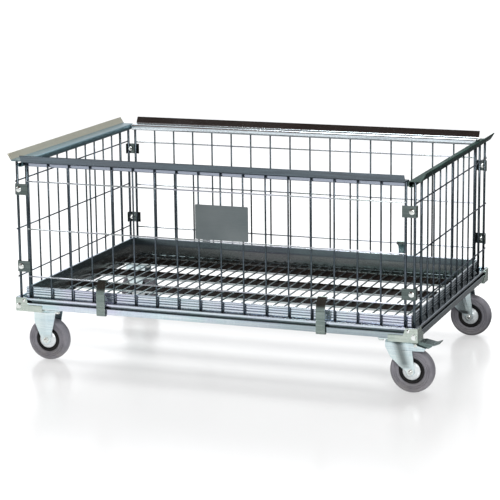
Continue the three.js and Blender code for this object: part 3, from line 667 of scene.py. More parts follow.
def buildSlatePaint():
    # Satin slate lacquer on sheet: fine sideways brush marks under it and a few lighter scratches.
    material, tree, shader, vector = startMaterial("slatePaint")
    brush = noiseNode(tree, scaledVector(tree, vector, (1, 1, 30)), 40.0, 3, 0.6)
    cloud = rangeNode(tree, noiseNode(tree, vector, 11.0, 4, 0.5), 0.3, 0.7)
    color = mixNode(tree, cloud, (0.105, 0.132, 0.14, 1), (0.155, 0.182, 0.188, 1))
    color = mixNode(tree, rangeNode(tree, brush, 0.35, 0.7, 0, 0.35), color, (0.2, 0.225, 0.23, 1))
    scratch = rangeNode(tree, noiseNode(tree, scaledVector(tree, vector, (1, 1, 14)), 260.0, 2, 0.6), 0.7,
                        0.76)
    color = mixNode(tree, mathNode(tree, "MULTIPLY", scratch, 0.5), color, (0.5, 0.53, 0.53, 1))
    tree.links.new(color, shader.inputs["Base Color"])
    tree.links.new(rangeNode(tree, brush, 0.3, 0.7, 0.38, 0.52), shader.inputs["Roughness"])
    shader.inputs["Metallic"].default_value = 0.35
    bumpFrom(tree, shader, brush, 0.15, 0.0002)
    return material


finishes.update(greyRubber=buildRubber(), blackPlastic=buildPlastic(), slatePaint=buildSlatePaint())
print("materials:", ", ".join(finishes))


meshValues = {"merge": 2e-6, "sliver": 1e-6, "bevelFrom": 40, "bevelSteps": 2}


def addPiece(name, shape, finish, body="root", nodes=(), wall=None, edge=None, angle=32):
    # Makes the mesh, closes its seams, turns its faces outwards and hangs it on its body.
    points, loops, sizes = shape
    mesh = bpy.data.meshes.new(name)
    mesh.vertices.add(len(points))
    mesh.vertices.foreach_set("co", points.astype(np.float32).ravel())
    mesh.loops.add(len(loops))
    mesh.loops.foreach_set("vertex_index", loops.astype(np.int32))
    mesh.polygons.add(len(sizes))
    mesh.polygons.foreach_set("loop_start", (np.cumsum(sizes) - sizes).astype(np.int32))
    mesh.update(calc_edges=True)
    mesh.validate()
    work = bmesh.new()
    work.from_mesh(mesh)
    bmesh.ops.remove_doubles(work, verts=work.verts, dist=meshValues["merge"])
    bmesh.ops.dissolve_degenerate(work, edges=work.edges, dist=meshValues["sliver"])
    bmesh.ops.recalc_face_normals(work, faces=work.faces)
    work.to_mesh(mesh)
    work.free()
    mesh.shade_smooth()
    mesh.set_sharp_from_angle(angle=math.radians(angle))
    mesh.materials.append(finishes[finish])
    piece = bpy.data.objects.new(name, mesh)
    bpy.context.scene.collection.objects.link(piece)
    if wall:
        solid = piece.modifiers.new("wall", "SOLIDIFY")
        solid.thickness, solid.offset, solid.use_even_offset = wall, -1, True
    if edge:
        bevel = piece.modifiers.new("edge", "BEVEL")
        bevel.width, bevel.segments, bevel.limit_method = edge, meshValues["bevelSteps"], "ANGLE"
        bevel.angle_limit = math.radians(meshValues["bevelFrom"])
    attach(piece, body)
    if nodes:
        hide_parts(*nodes)
    return piece


baseRail = {"sheet": 0.0025, "flange": 0.017, "recess": 0.012, "bead": 0.006, "beadHeight": 0.005,
            "rim": 0.032,
            "groove": 0.0065, "bend": 0.0014, "nose": 0.0012, "noseDrop": 0.001, "weld": 0.0022,
            "weldShort": 0.001,
            "crease": 0.0012, "creaseFlat": 0.3, "creases": (0.039, 0.0465, 0.0535)}


def baseRailSection(width, height):
    # Drawn as (distance from the outer face, height): flange, recess, bead, groove, hollow web and ledge.
    # Shallow creases run along the web's outer face.
    v, sheet, crease, nose = baseRail, baseRail["sheet"], baseRail["crease"], baseRail["nose"]
    inside = width - ledgeWidth
    outside = inside - webWidth
    floor, back, deep = v["rim"] - v["groove"], v["bead"], v["recess"]
    under, beadLow = floor - sheet, v["rim"] - v["beadHeight"]
    flat = crease * v["creaseFlat"]
    creases = [(outside + depth, z + rise) for z in v["creases"]
               for depth, rise in ((0, -crease), (crease, -flat), (crease, flat), (0, crease))]
    corner = [(0, 0), (0, v["flange"]), (deep, v["flange"]), (deep, under), (sheet, under), (0, beadLow),
              (0, v["rim"] - v["noseDrop"]), (nose, v["rim"]), (back - nose, v["rim"]),
              (back, v["rim"] - nose),
              (back, floor), (outside, floor), *creases, (outside, height), (inside, height), (inside, sheet),
              (width, sheet), (width, 0), (inside - sheet, 0), (inside - sheet, height - sheet),
              (outside + sheet, height - sheet), (outside + sheet, under), (deep + sheet, under),
              (deep + sheet, v["flange"] - sheet), (sheet, v["flange"] - sheet), (sheet, sheet),
              (outside - sheet, sheet), (outside - sheet, 0)]
    return roundCorners(corner, v["bend"], 3)


for quarter, side in enumerate(sides):
    low, across, run, width, height = sideOf("base_rail_" + side, quarter)
    section = baseRailSection(width, height)
    reach = run - section[:, 0]
    rail = extrude(section, -reach, reach, lambda a, b, along: (along, a - across, b + low[2]))
    addPiece("baseRail" + side.title(), quarterTurn(rail, quarter), "baseZinc", nodes=["base_rail_" + side],
             angle=40)

low, high = boxOf("base_rail_front")
webCorner = np.array([high[0], -low[1]]) - (high[1] - low[1]) + ledgeWidth
seamLow, seamHigh = low[2] + baseRail["sheet"], high[2] - baseRail["weldShort"]
seams = [weldBead([*foot, seamLow], [*foot, seamHigh], baseRail["weld"])
         for foot in webCorner * np.array(list(corners.values()))]
addPiece("cornerWelds", joinShapes(seams), "weldMetal", angle=60)
print("base rails done")


bracket = {"sheet": 0.0025, "gusset": 0.0074, "lower": 0.019, "upper": 0.038, "bend": 0.0045, "corner": 0.006,
           "long": 0.084, "short": 0.056, "setBack": 0.036, "cut": 0.6, "room": 0.0002, "edge": 0.0008,
           "step": 0.005,
           "boltAt": (0.011, 0, 0.0155), "boltAcross": 0.013, "boltHeight": 0.0055, "washer": 0.0085,
           "washerHeight": 0.0012, "rivetAt": (0.027, 0, 0.031), "rivet": 0.005, "rivetHeight": 0.003}


def bracketSkirt(length, depth, height):
    # A wall bent round the corner: arc length runs from the end of the long leg, round the bend, to the end
    # of the short leg. Its top steps up near the corner along an S-curve.
    v = bracket
    quarterArc = v["bend"] * math.pi / 2
    total = length + depth - 2 * v["bend"] + quarterArc
    straight = length - v["bend"]
    stepping = np.linspace(-v["step"], v["step"], 17)
    s = np.unique(np.concatenate([
        np.linspace(0, total, 60), np.linspace(straight, straight + quarterArc, 9),
        length - v["upper"] + stepping, straight + quarterArc - v["bend"] + v["upper"] + stepping]))
    turn = np.clip((s - straight) / quarterArc, 0, 1) * math.pi / 2
    past = np.maximum(s - straight - quarterArc, 0)
    x = np.where(s < straight, length - s, v["bend"] * (1 - np.sin(turn)))
    y = v["bend"] * (1 - np.cos(turn)) + past
    away = np.maximum(x, y)
    rise = np.clip((v["upper"] - away) / v["step"] * 0.5 + 0.5, 0, 1)
    top = v["lower"] + (height - v["lower"]) * rise * rise * (3 - 2 * rise)
    share = np.linspace(0, 1, 7)[:, None]
    rows = np.stack([x + 0 * share, y + 0 * share, share * top], axis=-1)
    return gridShape(rows, closeColumns=False)


for corner, (signX, signY) in corners.items():
    low, high = boxOf("corner_bracket_" + corner)
    outX, outY = (low[0] if signX < 0 else high[0]), (low[1] if signY < 0 else high[1])
    label, v = labelOf(corner), bracket
    place = lambda shape: moveShape(mirrorShape(shape, -signX, -signY), (outX, outY, low[2]))
    lengthX, lengthY, height = high - low
    addPiece("bracketSkirt" + label, place(bracketSkirt(v["long"], v["short"], height)), "bracketZinc",
             nodes=["corner_bracket_" + corner], wall=v["sheet"], edge=0.0005)
    inset, setBack = v["sheet"] + v["room"], v["setBack"]
    outline = [(inset, inset), (v["long"], inset), (v["long"], setBack), (lengthX, setBack),
               (lengthX, lengthY * v["cut"]), (lengthX * v["cut"], lengthY), (setBack, lengthY),
               (setBack, v["short"]), (inset, v["short"])]
    plate = pressedPlate([roundCorners(outline, v["corner"], 6)], v["gusset"], v["edge"])
    addPiece("bracketGusset" + label, place(moveShape(plate, (0, 0, v["gusset"] / 2))), "bracketZinc")
    head = moveShape(hexHead(v["boltAcross"], v["boltHeight"]), (0, v["washerHeight"], 0))
    bolt = joinShapes([plug(v["washer"], 0, v["washerHeight"], 24), head])
    rivet = domeHead(v["rivet"], v["rivetHeight"])
    bolts = [moveShape(bolt, v["boltAt"], facesFront), moveShape(rivet, v["rivetAt"], facesFront)]
    addPiece("bracketBolts" + label, place(joinShapes(bolts)), "boltZinc", angle=35)
print("corner brackets done")


floorValues = {"channels": 4, "sheet": 0.002, "bend": 0.0016, "wires": 34, "wire": 0.0022, "tieReach": 0.002,
               "tieY": 0.36, "sink": 0.0005, "weld": (0.0034, 0.0024, 0.0011), "weldRise": 0.0003}
matLow, matHigh = boxOf("floor_mat")
outerWire = matHigh[0] - floorValues["tieReach"]
wireX = np.linspace(-outerWire, outerWire, floorValues["wires"])
wireZ = matHigh[2] - floorValues["wire"]


def weldsAlong(y, z):
    return [blob((x, y, z), floorValues["weld"], 8, 4) for x in wireX]


dots = []
for number in range(1, floorValues["channels"] + 1):
    low, high = boxOf("floor_channel_%d" % number)
    middle, half, height = (low[1] + high[1]) / 2, (high[1] - low[1]) / 2, high[2] - low[2]
    centre = floorValues["sheet"] / 2
    side = half - centre
    section = sheetOutline([(-side, height), (-side, centre), (side, centre), (side, height)],
                           floorValues["sheet"], floorValues["bend"] + centre)
    shape = extrude(section, low[0], high[0], lambda a, b, along: (along, a + middle, b + low[2]))
    addPiece("floorChannel%d" % number, shape, "channelZinc", nodes=["floor_channel_%d" % number],
             angle=40)
    for rim in (middle - side, middle + side):
        dots += weldsAlong(rim, high[2] + floorValues["weldRise"])
wires = [rod((x, matLow[1], wireZ), (x, matHigh[1], wireZ), floorValues["wire"]) for x in wireX]
tieZ = wireZ - 2 * floorValues["wire"] + floorValues["sink"]
for tie in (-floorValues["tieY"], floorValues["tieY"]):
    wires.append(rod((matLow[0], tie, tieZ), (matHigh[0], tie, tieZ), floorValues["wire"]))
    dots += weldsAlong(tie, (wireZ + tieZ) / 2)
addPiece("floorWires", joinShapes(wires), "floorZinc", nodes=["floor_mat"], angle=50)
addPiece("floorWelds", joinShapes(dots), "weldMetal", angle=70)
print("floor done")


cage = {"upright": 0.0025, "thick": 0.00375, "row": 0.002, "rows": (0.258, 0.3965, 0.535), "sink": 0.0006,
        "sides": 14, "weld": (0.0032, 0.0018, 0.0028), "weldOut": 0.8}
# The front and back rows take rowZinc, the lighter copy of the wire zinc painted with the light they catch.
panelValues = {"front": {"count": 18, "thick": 1, "overhang": 0.0, "offPitch": 0.00275, "rows": "rowZinc"},
               "right": {"count": 13, "thick": 2, "overhang": 0.006, "offPitch": 0.0, "rows": "wireZinc"}}
panelValues.update(back=panelValues["front"], left=panelValues["right"])


def wirePanel(quarter, side):
    # Round uprights from the groove to the rail, and three rows welded across them on the outside.
    low, high = boxOf("panel_" + side)
    v = panelValues[side]
    run = (high - low)[quarter % 2] / 2
    barHalf = cage["thick"] * math.sqrt(math.pi) / 2
    plane = -abs([high[1], low[0], low[1], high[0]][quarter]) - barHalf
    edge = run - v["overhang"] - (0 if v["overhang"] else barHalf)
    uprightX = np.linspace(v["offPitch"] - edge, edge - v["offPitch"], v["count"])
    uprightX[0], uprightX[-1] = -edge, edge
    rowY = plane - cage["upright"] - cage["row"] + cage["sink"]
    uprights, nuggets = [], []
    for i, x in enumerate(uprightX):
        radius = cage["thick"] if min(i, v["count"] - 1 - i) < v["thick"] else cage["upright"]
        uprights.append(rod((x, plane, low[2]), (x, plane, high[2]), radius, cage["sides"]))
        nuggets += [blob((x, rowY + cage["row"] * cage["weldOut"], z), cage["weld"]) for z in cage["rows"]]
    reach = edge + v["overhang"]
    rows = [rod((-reach, rowY, z), (reach, rowY, z), cage["row"], cage["sides"]) for z in cage["rows"]]
    return [quarterTurn(joinShapes(parts), quarter) for parts in (uprights, rows, nuggets)]


for quarter, side in enumerate(sides):
    uprights, rows, welds = wirePanel(quarter, side)
    addPiece("panelUprights" + side.title(), uprights, "wireZinc", nodes=["panel_" + side],
             angle=50)
    addPiece("panelRows" + side.title(), rows, panelValues[side]["rows"], angle=50)
    addPiece("panelWelds" + side.title(), welds, "weldMetal", angle=70)
print("wire panels done")


topRail = {"sheet": 0.0025, "flare": 0.012, "rise": 0.019, "beadDrop": 0.018, "beadWidth": 0.015,
           "curl": 0.009,
           "tipDrop": 0.0006, "bends": np.array([0, 0.0026, 0.0045, 0.0062, 0.0055, 0])}
# Painted light and shade: each top rail takes its own tinted copy of the rail zinc.
railLitShadedFinishes = {"front": "slateZinc", "right": "darkZinc", "back": "railZinc", "left": "oliveZinc"}


def topRailSection(width, height):
    # Drawn as (distance from the lip's tip, height): flared lip, shelf and a bead that curls under it.
    v, half = topRail, topRail["sheet"] / 2
    shelf = height - v["rise"] - half
    inner, outer, under = width - half, width - v["beadWidth"] + half, shelf - v["beadDrop"] + 2 * half
    line = [(half, height - v["tipDrop"]), (v["flare"] + half, shelf), (inner, shelf), (inner, under),
            (outer, under), (outer, under + v["curl"])]
    return sheetOutline(line, v["sheet"], v["bends"])


for quarter, side in enumerate(sides):
    low, across, run, width, height = sideOf("top_rail_" + side, quarter)
    rail = extrude(topRailSection(width, height), -run, run, lambda a, b,
                   along: (along, a - across, b + low[2]))
    addPiece("topRail" + side.title(), quarterTurn(rail, quarter), railLitShadedFinishes[side],
             nodes=["top_rail_" + side],
             angle=40, edge=0.0003)
print("top rails done")


clamp = {"sheet": 0.0025, "bend": 0.0032, "boltRadius": 0.0085, "boltHeight": 0.0048, "boltPlace": 0.68,
         "nutAcross": 0.013, "nutHeight": 0.006, "stubRadius": 0.004, "stub": 0.006}
boltHead = domeHead(clamp["boltRadius"], clamp["boltHeight"])
boltNut = hexHead(clamp["nutAcross"], clamp["nutHeight"])
boltEnd = moveShape(threadStub(clamp["stubRadius"], clamp["stub"]), turn=facesFront)
for corner, (signX, signY) in corners.items():
    for level in ("upper", "lower"):
        low, high = boxOf("corner_clamp_%s_%s" % (level, corner))
        inX, face = (high[0] if signX < 0 else low[0]), (low[1] if signY < 0 else high[1])
        width, depth, half = high[0] - low[0], high[1] - low[1], clamp["sheet"] / 2
        section = sheetOutline([(0, -half), (width - half, -half), (width - half, -depth)],
                               clamp["sheet"], clamp["bend"])
        label = level.title() + labelOf(corner)
        place = lambda shape: moveShape(mirrorShape(shape, signX, signY), (inX, face, 0))
        shape = extrude(section, low[2], high[2], lambda a, b, along: (a, b, along))
        addPiece("clamp" + label, place(shape), "clampZinc", nodes=["corner_clamp_%s_%s" % (level, corner)],
                 angle=40, edge=0.0006)
        boltX, boltZ = width * clamp["boltPlace"], (low[2] + high[2]) / 2
        back = -clamp["sheet"] - clamp["nutHeight"]
        parts = [moveShape(boltHead, (boltX, 0, boltZ)), moveShape(boltNut, (boltX, back, boltZ)),
                 moveShape(boltEnd, (boltX, back, boltZ))]
        addPiece("clampBolt" + label, place(joinShapes(parts)), "boltZinc", angle=35)
print("corner clamps done")


low, high = boxOf("sign_plate")
signValues = {"corner": 0.003, "edge": 0.0005}
outline = [(low[0], low[2]), (high[0], low[2]), (high[0], high[2]), (low[0], high[2])]
plate = pressedPlate([roundCorners(outline, signValues["corner"], 6)], high[1] - low[1], signValues["edge"])
addPiece("signPlate", moveShape(plate, (0, (low[1] + high[1]) / 2, 0), standsUp), "slatePaint",
         nodes=["sign_plate"])
print("sign plate done")


clipValues = {"sheet": 0.0025, "wrap": 0.0034, "bendHeight": 0.028, "toe": 0.012, "bend": 0.003,
              "bulge": 0.0022, "ear": 0.013,
              "earHeight": 0.015, "rowHeight": 0.258, "rowDistance": 0.38489, "rim": 0.197}


def clipSection(face, toeZ):
    # Drawn as (outwards from the wire's axis, height): hook, slope, drop and toe.
    v = clipValues
    wrap = v["wrap"] + v["sheet"] / 2
    angle = np.radians(np.linspace(-40, 130, 12))
    hook = np.column_stack([-wrap * np.cos(angle), v["rowHeight"] + wrap * np.sin(angle)])
    top = np.array([wrap + 0.0012, v["rowHeight"] - 0.003])
    foot = np.array([face, v["rim"] + v["bendHeight"]])
    bent = roundCorners([hook[-1], top, foot, (face, toeZ), (face - v["toe"], toeZ)], v["bend"], 6,
                        closed=False)
    # The slope is the longest straight run above its foot; it bulges by bulge x 4 x share x (1 - share).
    runs = np.linalg.norm(np.diff(bent, axis=0), axis=1) * (bent[1:, 1] > foot[1] - v["bend"])
    start = int(np.argmax(runs))
    share = np.linspace(0, 1, 14)[1:-1, None]
    slope = bent[start] + (bent[start + 1] - bent[start]) * share + v["bulge"] * 4 * share * (1 - share)
    path = np.vstack([hook[:-1], bent[:start + 1], slope, bent[start + 1:]])
    return sheetOutline(path, v["sheet"], 0.0001, 1)


for corner, (signX, signY) in corners.items():
    node = "clip_" + corner
    low, high = boxOf(node)
    centreX, half = (low[0] + high[0]) / 2, (high[0] - low[0]) / 2
    out = -low[1] if signY < 0 else high[1]
    face = out - clipValues["rowDistance"] - clipValues["sheet"] / 2
    section = clipSection(face, low[2] + clipValues["sheet"] / 2)
    strip = extrude(section, -half, half, lambda a, b, along: (along, -a - clipValues["rowDistance"], b))
    earLow = clipValues["rim"] + 0.006
    inner = out - clipValues["sheet"]
    ears = []
    for edgeX in (-half, half - clipValues["sheet"]):
        outline = roundCorners([(inner + 0.0005, earLow), (inner + 0.0005, earLow + clipValues["earHeight"]),
                                (inner - clipValues["ear"], earLow + clipValues["earHeight"] * 0.8),
                                (inner - clipValues["ear"], earLow)], 0.002, 3)
        ears.append(extrude(outline, edgeX, edgeX + clipValues["sheet"], lambda a, b, along: (along, -a, b)))
    shape = moveShape(quarterTurn(joinShapes([strip, *ears]), 0 if signY < 0 else 2), (centreX, 0, 0))
    addPiece("holdDownClip" + labelOf(corner), shape, "clipZinc", body=corner + "_clip", nodes=[node],
             angle=40, edge=0.0005)
print("clips done")


castorValues = {"sheet": 0.0032, "bend": 0.0065, "eyeFixed": 0.013, "eyeSwivel": 0.0115, "rib": 0.0026,
                "ribHalf": 0.021,
                "ribFade": 0.012, "boltX": 0.044, "boltY": 0.034, "nutAcross": 0.013, "nutHeight": 0.0045,
                "washer": 0.0075, "washerHeight": 0.0011}
fixedRib = {"x": 0.003, "lean": 0.0, "low": 0.006, "high": 0.092}
swivelRib = {"x": 0.024, "lean": -0.32, "low": 0.008, "high": 0.085}
wheelValues = {"bead": 0.036, "groove": 0.0017, "rim": 0.0357, "disc": 0.0272, "half": 0.0145, "hub": 0.0198}
axleValues = {"sleeve": 0.006, "washer": 0.0085, "washerHeight": 0.0012, "head": (0.0055, 0.0028),
              "nut": (0.012, 0.0034, 0.2)}
# Edges of a fork's leg as (height above the axle, x): a fixed one over its axle, a swivelling one ahead of it.
fixedEdges = {"front": [(0, -0.013), (0.052, -0.035), (0.1, -0.035)],
              "back": [(0, 0.013), (0.046, 0.0252), (0.1, 0.035)]}
swivelEdges = {"front": [(0, 0.025), (0.016, 0.004), (0.038, -0.020), (0.0667, -0.035), (0.1, -0.035)],
               "back": [(0, 0.0475), (0.034, 0.044), (0.1, 0.035)]}
brakedBack = [(0, 0.0475), (0.034, 0.044), (0.0590, 0.0405), (0.0597, 0.0735), (0.0685, 0.079),
              (0.0745, 0.056),
              (0.0830, 0.035)]


def forkShape(low, high, axleX, axleZ, eye, edges, rib):
    # A sheet folded into a U: arc length runs up one leg, over the crown and down the other. Across it, the sheet
    # reaches from the leg's front edge to its back edge, and under the axle both follow a circle.
    v = castorValues
    halfWide, top = (high[1] - low[1]) / 2, high[2]
    legLow = axleZ - eye * 0.985
    straight = top - v["bend"] - legLow
    arc, flat = v["bend"] * math.pi / 2, 2 * (halfWide - v["bend"])
    stops = [legLow + straight * k for k in np.linspace(0, 1, 64)]
    heights = np.unique(np.concatenate([stops, [axleZ + h for h, _ in edges["back"]],
                                        [axleZ + h for h, _ in edges["front"]],
                                        axleZ - eye * np.cos(np.linspace(0.17, 1.5, 12))]))
    heights = heights[(heights >= legLow) & (heights <= top - v["bend"])]
    turn = np.linspace(0, math.pi / 2, 8)[1:]
    y = np.concatenate([-halfWide + 0 * heights, -halfWide + v["bend"] * (1 - np.cos(turn))])
    z = np.concatenate([heights, top - v["bend"] * (1 - np.sin(turn))])
    inwardY = np.concatenate([1 + 0 * heights, np.cos(turn)])
    y, z = np.concatenate([y, -y[::-1]]), np.concatenate([z, z[::-1]])
    inwardY = np.concatenate([inwardY, -inwardY[::-1]])
    above = z - axleZ
    front = np.interp(above, *np.array(edges["front"]).T)
    back = np.interp(above, *np.array(edges["back"]).T)
    circle = np.sqrt(np.clip(eye ** 2 - np.minimum(above, 0) ** 2, 1e-8, None))
    front = np.where(above < 0, axleX - circle, front)
    back = np.where(above < 0, axleX + circle, back)
    share = np.linspace(0, 1, 25)
    x = front[:, None] + (back - front)[:, None] * share
    across = np.clip(1 - ((x - rib["x"] - rib["lean"] * above[:, None]) / v["ribHalf"]) ** 2, 0, 1) ** 2
    along = (np.clip((above - rib["low"]) / v["ribFade"], 0, 1)
             * np.clip((rib["high"] - above) / v["ribFade"], 0, 1))
    press = v["rib"] * across * (along * along * (3 - 2 * along))[:, None]
    grid = np.stack([x, y[:, None] - press * np.sign(inwardY)[:, None], z[:, None] + 0 * x], axis=-1)
    return gridShape(grid, closeColumns=False)


def tyreShape(low, high):
    # Cross-section of the tyre: rounded tread, two rings pressed into each side wall, and a bead at the rim.
    half, outer = (high[1] - low[1]) / 2, (high[2] - low[2]) / 2
    inner, pressed = wheelValues["bead"], half - wheelValues["groove"]
    right = [(inner, half * 0.78), (inner + 0.0015, half * 0.9), (inner + 0.004, half),
             (inner + 0.0068, half),
             (inner + 0.0076, pressed), (inner + 0.0088, pressed), (inner + 0.0096, half),
             (inner + 0.0120, half), (inner + 0.0128, pressed), (inner + 0.0140, pressed),
             (inner + 0.0148, half), (outer - 0.0078, half), (outer - 0.0050, half * 0.93),
             (outer - 0.0024, half * 0.74),
             (outer - 0.0008, half * 0.48), (outer, half * 0.16)]
    ring = right + [(r, -y) for r, y in reversed(right)]
    return lathe(roundCorners(ring, 0.0012, 3), 96)


def centreShape():
    # Moulded wheel centre: hub barrel, web and rim as one ring.
    rim, disc, half, hub = (wheelValues[k] for k in ("rim", "disc", "half", "hub"))
    right = [(0.0064, hub), (0.0115, hub), (0.0125, half - 0.003), (disc, half - 0.003),
             (disc + 0.0012, half - 0.0005),
             (disc + 0.003, half), (rim - 0.0008, half), (rim, half - 0.0008)]
    ring = right + [(r, -y) for r, y in reversed(right)]
    return lathe(roundCorners(ring, 0.0008, 3), 72)


def coverShape():
    # Thin dished cover that keeps thread off the hub, one on each side of the wheel.
    right = [(0.0088, 0.0205), (0.0125, 0.0205), (0.017, 0.0186), (0.0225, 0.0172), (0.0252, 0.0150),
             (0.0256, 0.0128),
             (0.0244, 0.0128), (0.0240, 0.0148), (0.0222, 0.0160), (0.0166, 0.0174), (0.0123, 0.0195),
             (0.0088, 0.0195)]
    ring = lathe(roundCorners(right, 0.0006, 2), 64)
    return joinShapes([ring, mirrorShape(ring, 1, -1)])


def axleShape(reach):
    # Rivet with a washer under its head at -Y, a washer and nut at +Y, and the sleeve between the legs.
    v = axleValues
    washer, off = plug(v["washer"], 0, v["washerHeight"], 28), (0, v["washerHeight"], 0)
    near = joinShapes([washer, moveShape(domeHead(*v["head"]), off)])
    far = joinShapes([washer, moveShape(hexHead(*v["nut"]), off)])
    sleeve = plug(v["sleeve"], -reach, reach, 24)
    return joinShapes([sleeve, moveShape(near, (0, -reach, 0), facesFront), moveShape(far, (0, reach, 0))])


def mountPlate(low, high):
    # Rounded plate with four slots; slots run along X.
    slots = [ellipse(sx * castorValues["boltX"], sy * castorValues["boltY"], 0.0058, 0.0046, clockwise=True)
             for sx in (-1, 1) for sy in (-1, 1)]
    lengthX, lengthY = (high - low)[:2] / 2
    edge = roundCorners([(-lengthX, -lengthY), (lengthX, -lengthY), (lengthX, lengthY), (-lengthX, lengthY)],
                        0.008, 6)
    return pressedPlate([edge, *slots], high[2] - low[2], 0.0007)


def plateBolts(top):
    v = castorValues
    washer, nut = plug(v["washer"], 0, v["washerHeight"], 20), hexHead(v["nutAcross"], v["nutHeight"])
    parts = []
    for signX in (-1, 1):
        for signY in (-1, 1):
            x, y = signX * v["boltX"], signY * v["boltY"]
            parts += [moveShape(washer, (x, y, top), hangsDown),
                      moveShape(nut, (x, y, top - v["washerHeight"]), hangsDown)]
    return joinShapes(parts)


def headShape(low, high):
    # Swivel bearing seen edge on: upper cup, ball gap and lower cup.
    radius, height = (high[0] - low[0]) / 2, high[2] - low[2]
    ring = [(0, 0), (radius * 0.86, 0), (radius * 0.93, height * 0.1), (radius * 0.95, height * 0.38),
            (radius * 0.91, height * 0.45), (radius * 0.91, height * 0.53), (radius, height * 0.6),
            (radius, height * 0.9),
            (radius * 0.97, height), (0, height)]
    return lathe(ring, 64, closed=False)


def forkPiece(corner, kind):
    node = "castor_fork_" + corner
    low, high = boxOf(node)
    wheelLow, wheelHigh = boxOf("tyre_" + corner)
    axle = (wheelLow + wheelHigh) / 2
    plateLow, plateHigh = boxOf("castor_plate_" + corner)
    centreX = (plateLow[0] + plateHigh[0]) / 2
    centreY = (plateLow[1] + plateHigh[1]) / 2
    if kind == "fixed":
        edges, eye, rib = fixedEdges, castorValues["eyeFixed"], fixedRib
    else:
        edges, eye, rib = swivelEdges, castorValues["eyeSwivel"], swivelRib
    if kind == "braked":
        edges = {**swivelEdges, "back": brakedBack}
    shape = forkShape(low, high, axle[0] - centreX, axle[2], eye, edges, rib)
    shape = moveShape(shape, (centreX, centreY, 0))
    body = "root" if kind == "fixed" else corner + "_fork"
    label = labelOf(corner)
    addPiece("castorFork" + label, shape, "forkZinc", body=body, nodes=[node],
             wall=castorValues["sheet"],
             edge=0.0006, angle=50)
    return (centreX, centreY), axle, body, label


castorKinds = {"front_left": "fixed", "back_left": "fixed", "front_right": "braked", "back_right": "swivel"}
for corner, kind in castorKinds.items():
    (centreX, centreY), axle, body, label = forkPiece(corner, kind)
    low, high = boxOf("castor_plate_" + corner)
    plate = moveShape(mountPlate(low, high), (centreX, centreY, (low[2] + high[2]) / 2))
    addPiece("castorPlate" + label, plate, "forkZinc", nodes=["castor_plate_" + corner])
    nuts = moveShape(plateBolts(low[2]), (centreX, centreY, 0))
    addPiece("castorNuts" + label, nuts, "boltZinc", angle=35)
    addPiece("tyre" + label, moveShape(tyreShape(*boxOf("tyre_" + corner)), axle), "greyRubber",
             body=corner + "_wheel",
             nodes=["tyre_" + corner], angle=45)
    addPiece("wheelCentre" + label, moveShape(centreShape(), axle), "blackPlastic", body=corner + "_wheel",
             nodes=["wheel_centre_" + corner], angle=45)
    addPiece("threadGuard" + label, moveShape(coverShape(), axle), "coverZinc", body=corner + "_wheel",
             angle=50)
    forkLow, forkHigh = boxOf("castor_fork_" + corner)
    axleBody = "root" if kind == "fixed" else body
    addPiece("axle" + label, moveShape(axleShape((forkHigh[1] - forkLow[1]) / 2), axle), "boltZinc",
             body=axleBody,
             nodes=["axle_" + corner], angle=35)
    if kind != "fixed":
        low, high = boxOf("swivel_head_" + corner)
        head = moveShape(headShape(low, high), (centreX, centreY, low[2]), standsUp)
        addPiece("swivelHead" + label, head, "forkZinc", nodes=["swivel_head_" + corner],
                 angle=35)
        pivot = moveShape(hexHead(0.019, 0.007), (centreX, centreY, forkHigh[2] - castorValues["sheet"]),
                          hangsDown)
        addPiece("kingNut" + label, pivot, "boltZinc", body=body, angle=35)
    else:
        pivot = moveShape(domeHead(0.012, 0.004), (centreX, centreY, forkHigh[2] - castorValues["sheet"]),
                          hangsDown)
        addPiece("crownRivet" + label, pivot, "boltZinc", angle=35)
print("castors done")


pedalValues = {"sheet": 0.0028, "wall": 0.0024, "ribHeight": 0.0011, "corner": 0.007,
               "pin": 0.003, "pinHead": (0.0052, 0.003), "pinHeadAt": 0.027}


def pedalShape(pinX, pinZ, half):
    # Top plate: a bent line in side view whose half-width shrinks round its tip; ridges cross it near the tip.
    v = pedalValues
    line = roundCorners([(-0.006, 0.0064), (0.020, 0.0094), (0.049, 0.0034), (0.0655, 0.0102)], 0.012, 8,
                        closed=False)
    step = np.concatenate([[0], np.cumsum(np.linalg.norm(np.diff(line, axis=0), axis=1))])
    s = np.linspace(0, step[-1], 90)
    x, z = np.interp(s, step, line[:, 0]), np.interp(s, step, line[:, 1])
    left = np.minimum(s, step[-1] - s)
    wide = half - v["corner"] + np.sqrt(
        np.clip(v["corner"] ** 2 - np.clip(v["corner"] - left, 0, None) ** 2, 1e-9, None))
    share = np.linspace(-1, 1, 15)
    ridge = np.clip(np.sin((s - step[-1] + 0.022) / 0.0045 * math.pi), 0, 1) * (s > step[-1] - 0.022)
    bump = v["ribHeight"] * ridge[:, None] * np.clip((0.86 - np.abs(share)) / 0.08, 0, 1)
    grid = np.stack([x[:, None] + 0 * share, wide[:, None] * share, z[:, None] + bump], axis=-1)
    top = np.concatenate([grid, (grid - [0, 0, v["sheet"]])[:, ::-1]], axis=1)
    plate = gridShape(top, caps=True)
    cheek = roundCorners([(-0.004, -0.0058), (0.034, -0.0086), (0.050, 0.0010), (0.020, 0.0072),
                          (-0.006, 0.0048)], 0.004, 5)
    walls = [extrude(cheek, edge, edge + v["wall"], lambda a, b, along: (a, along, b))
             for edge in (-half + 0.003, half - 0.003 - v["wall"])]
    return moveShape(joinShapes([plate, *walls]), (pinX, 0, pinZ))


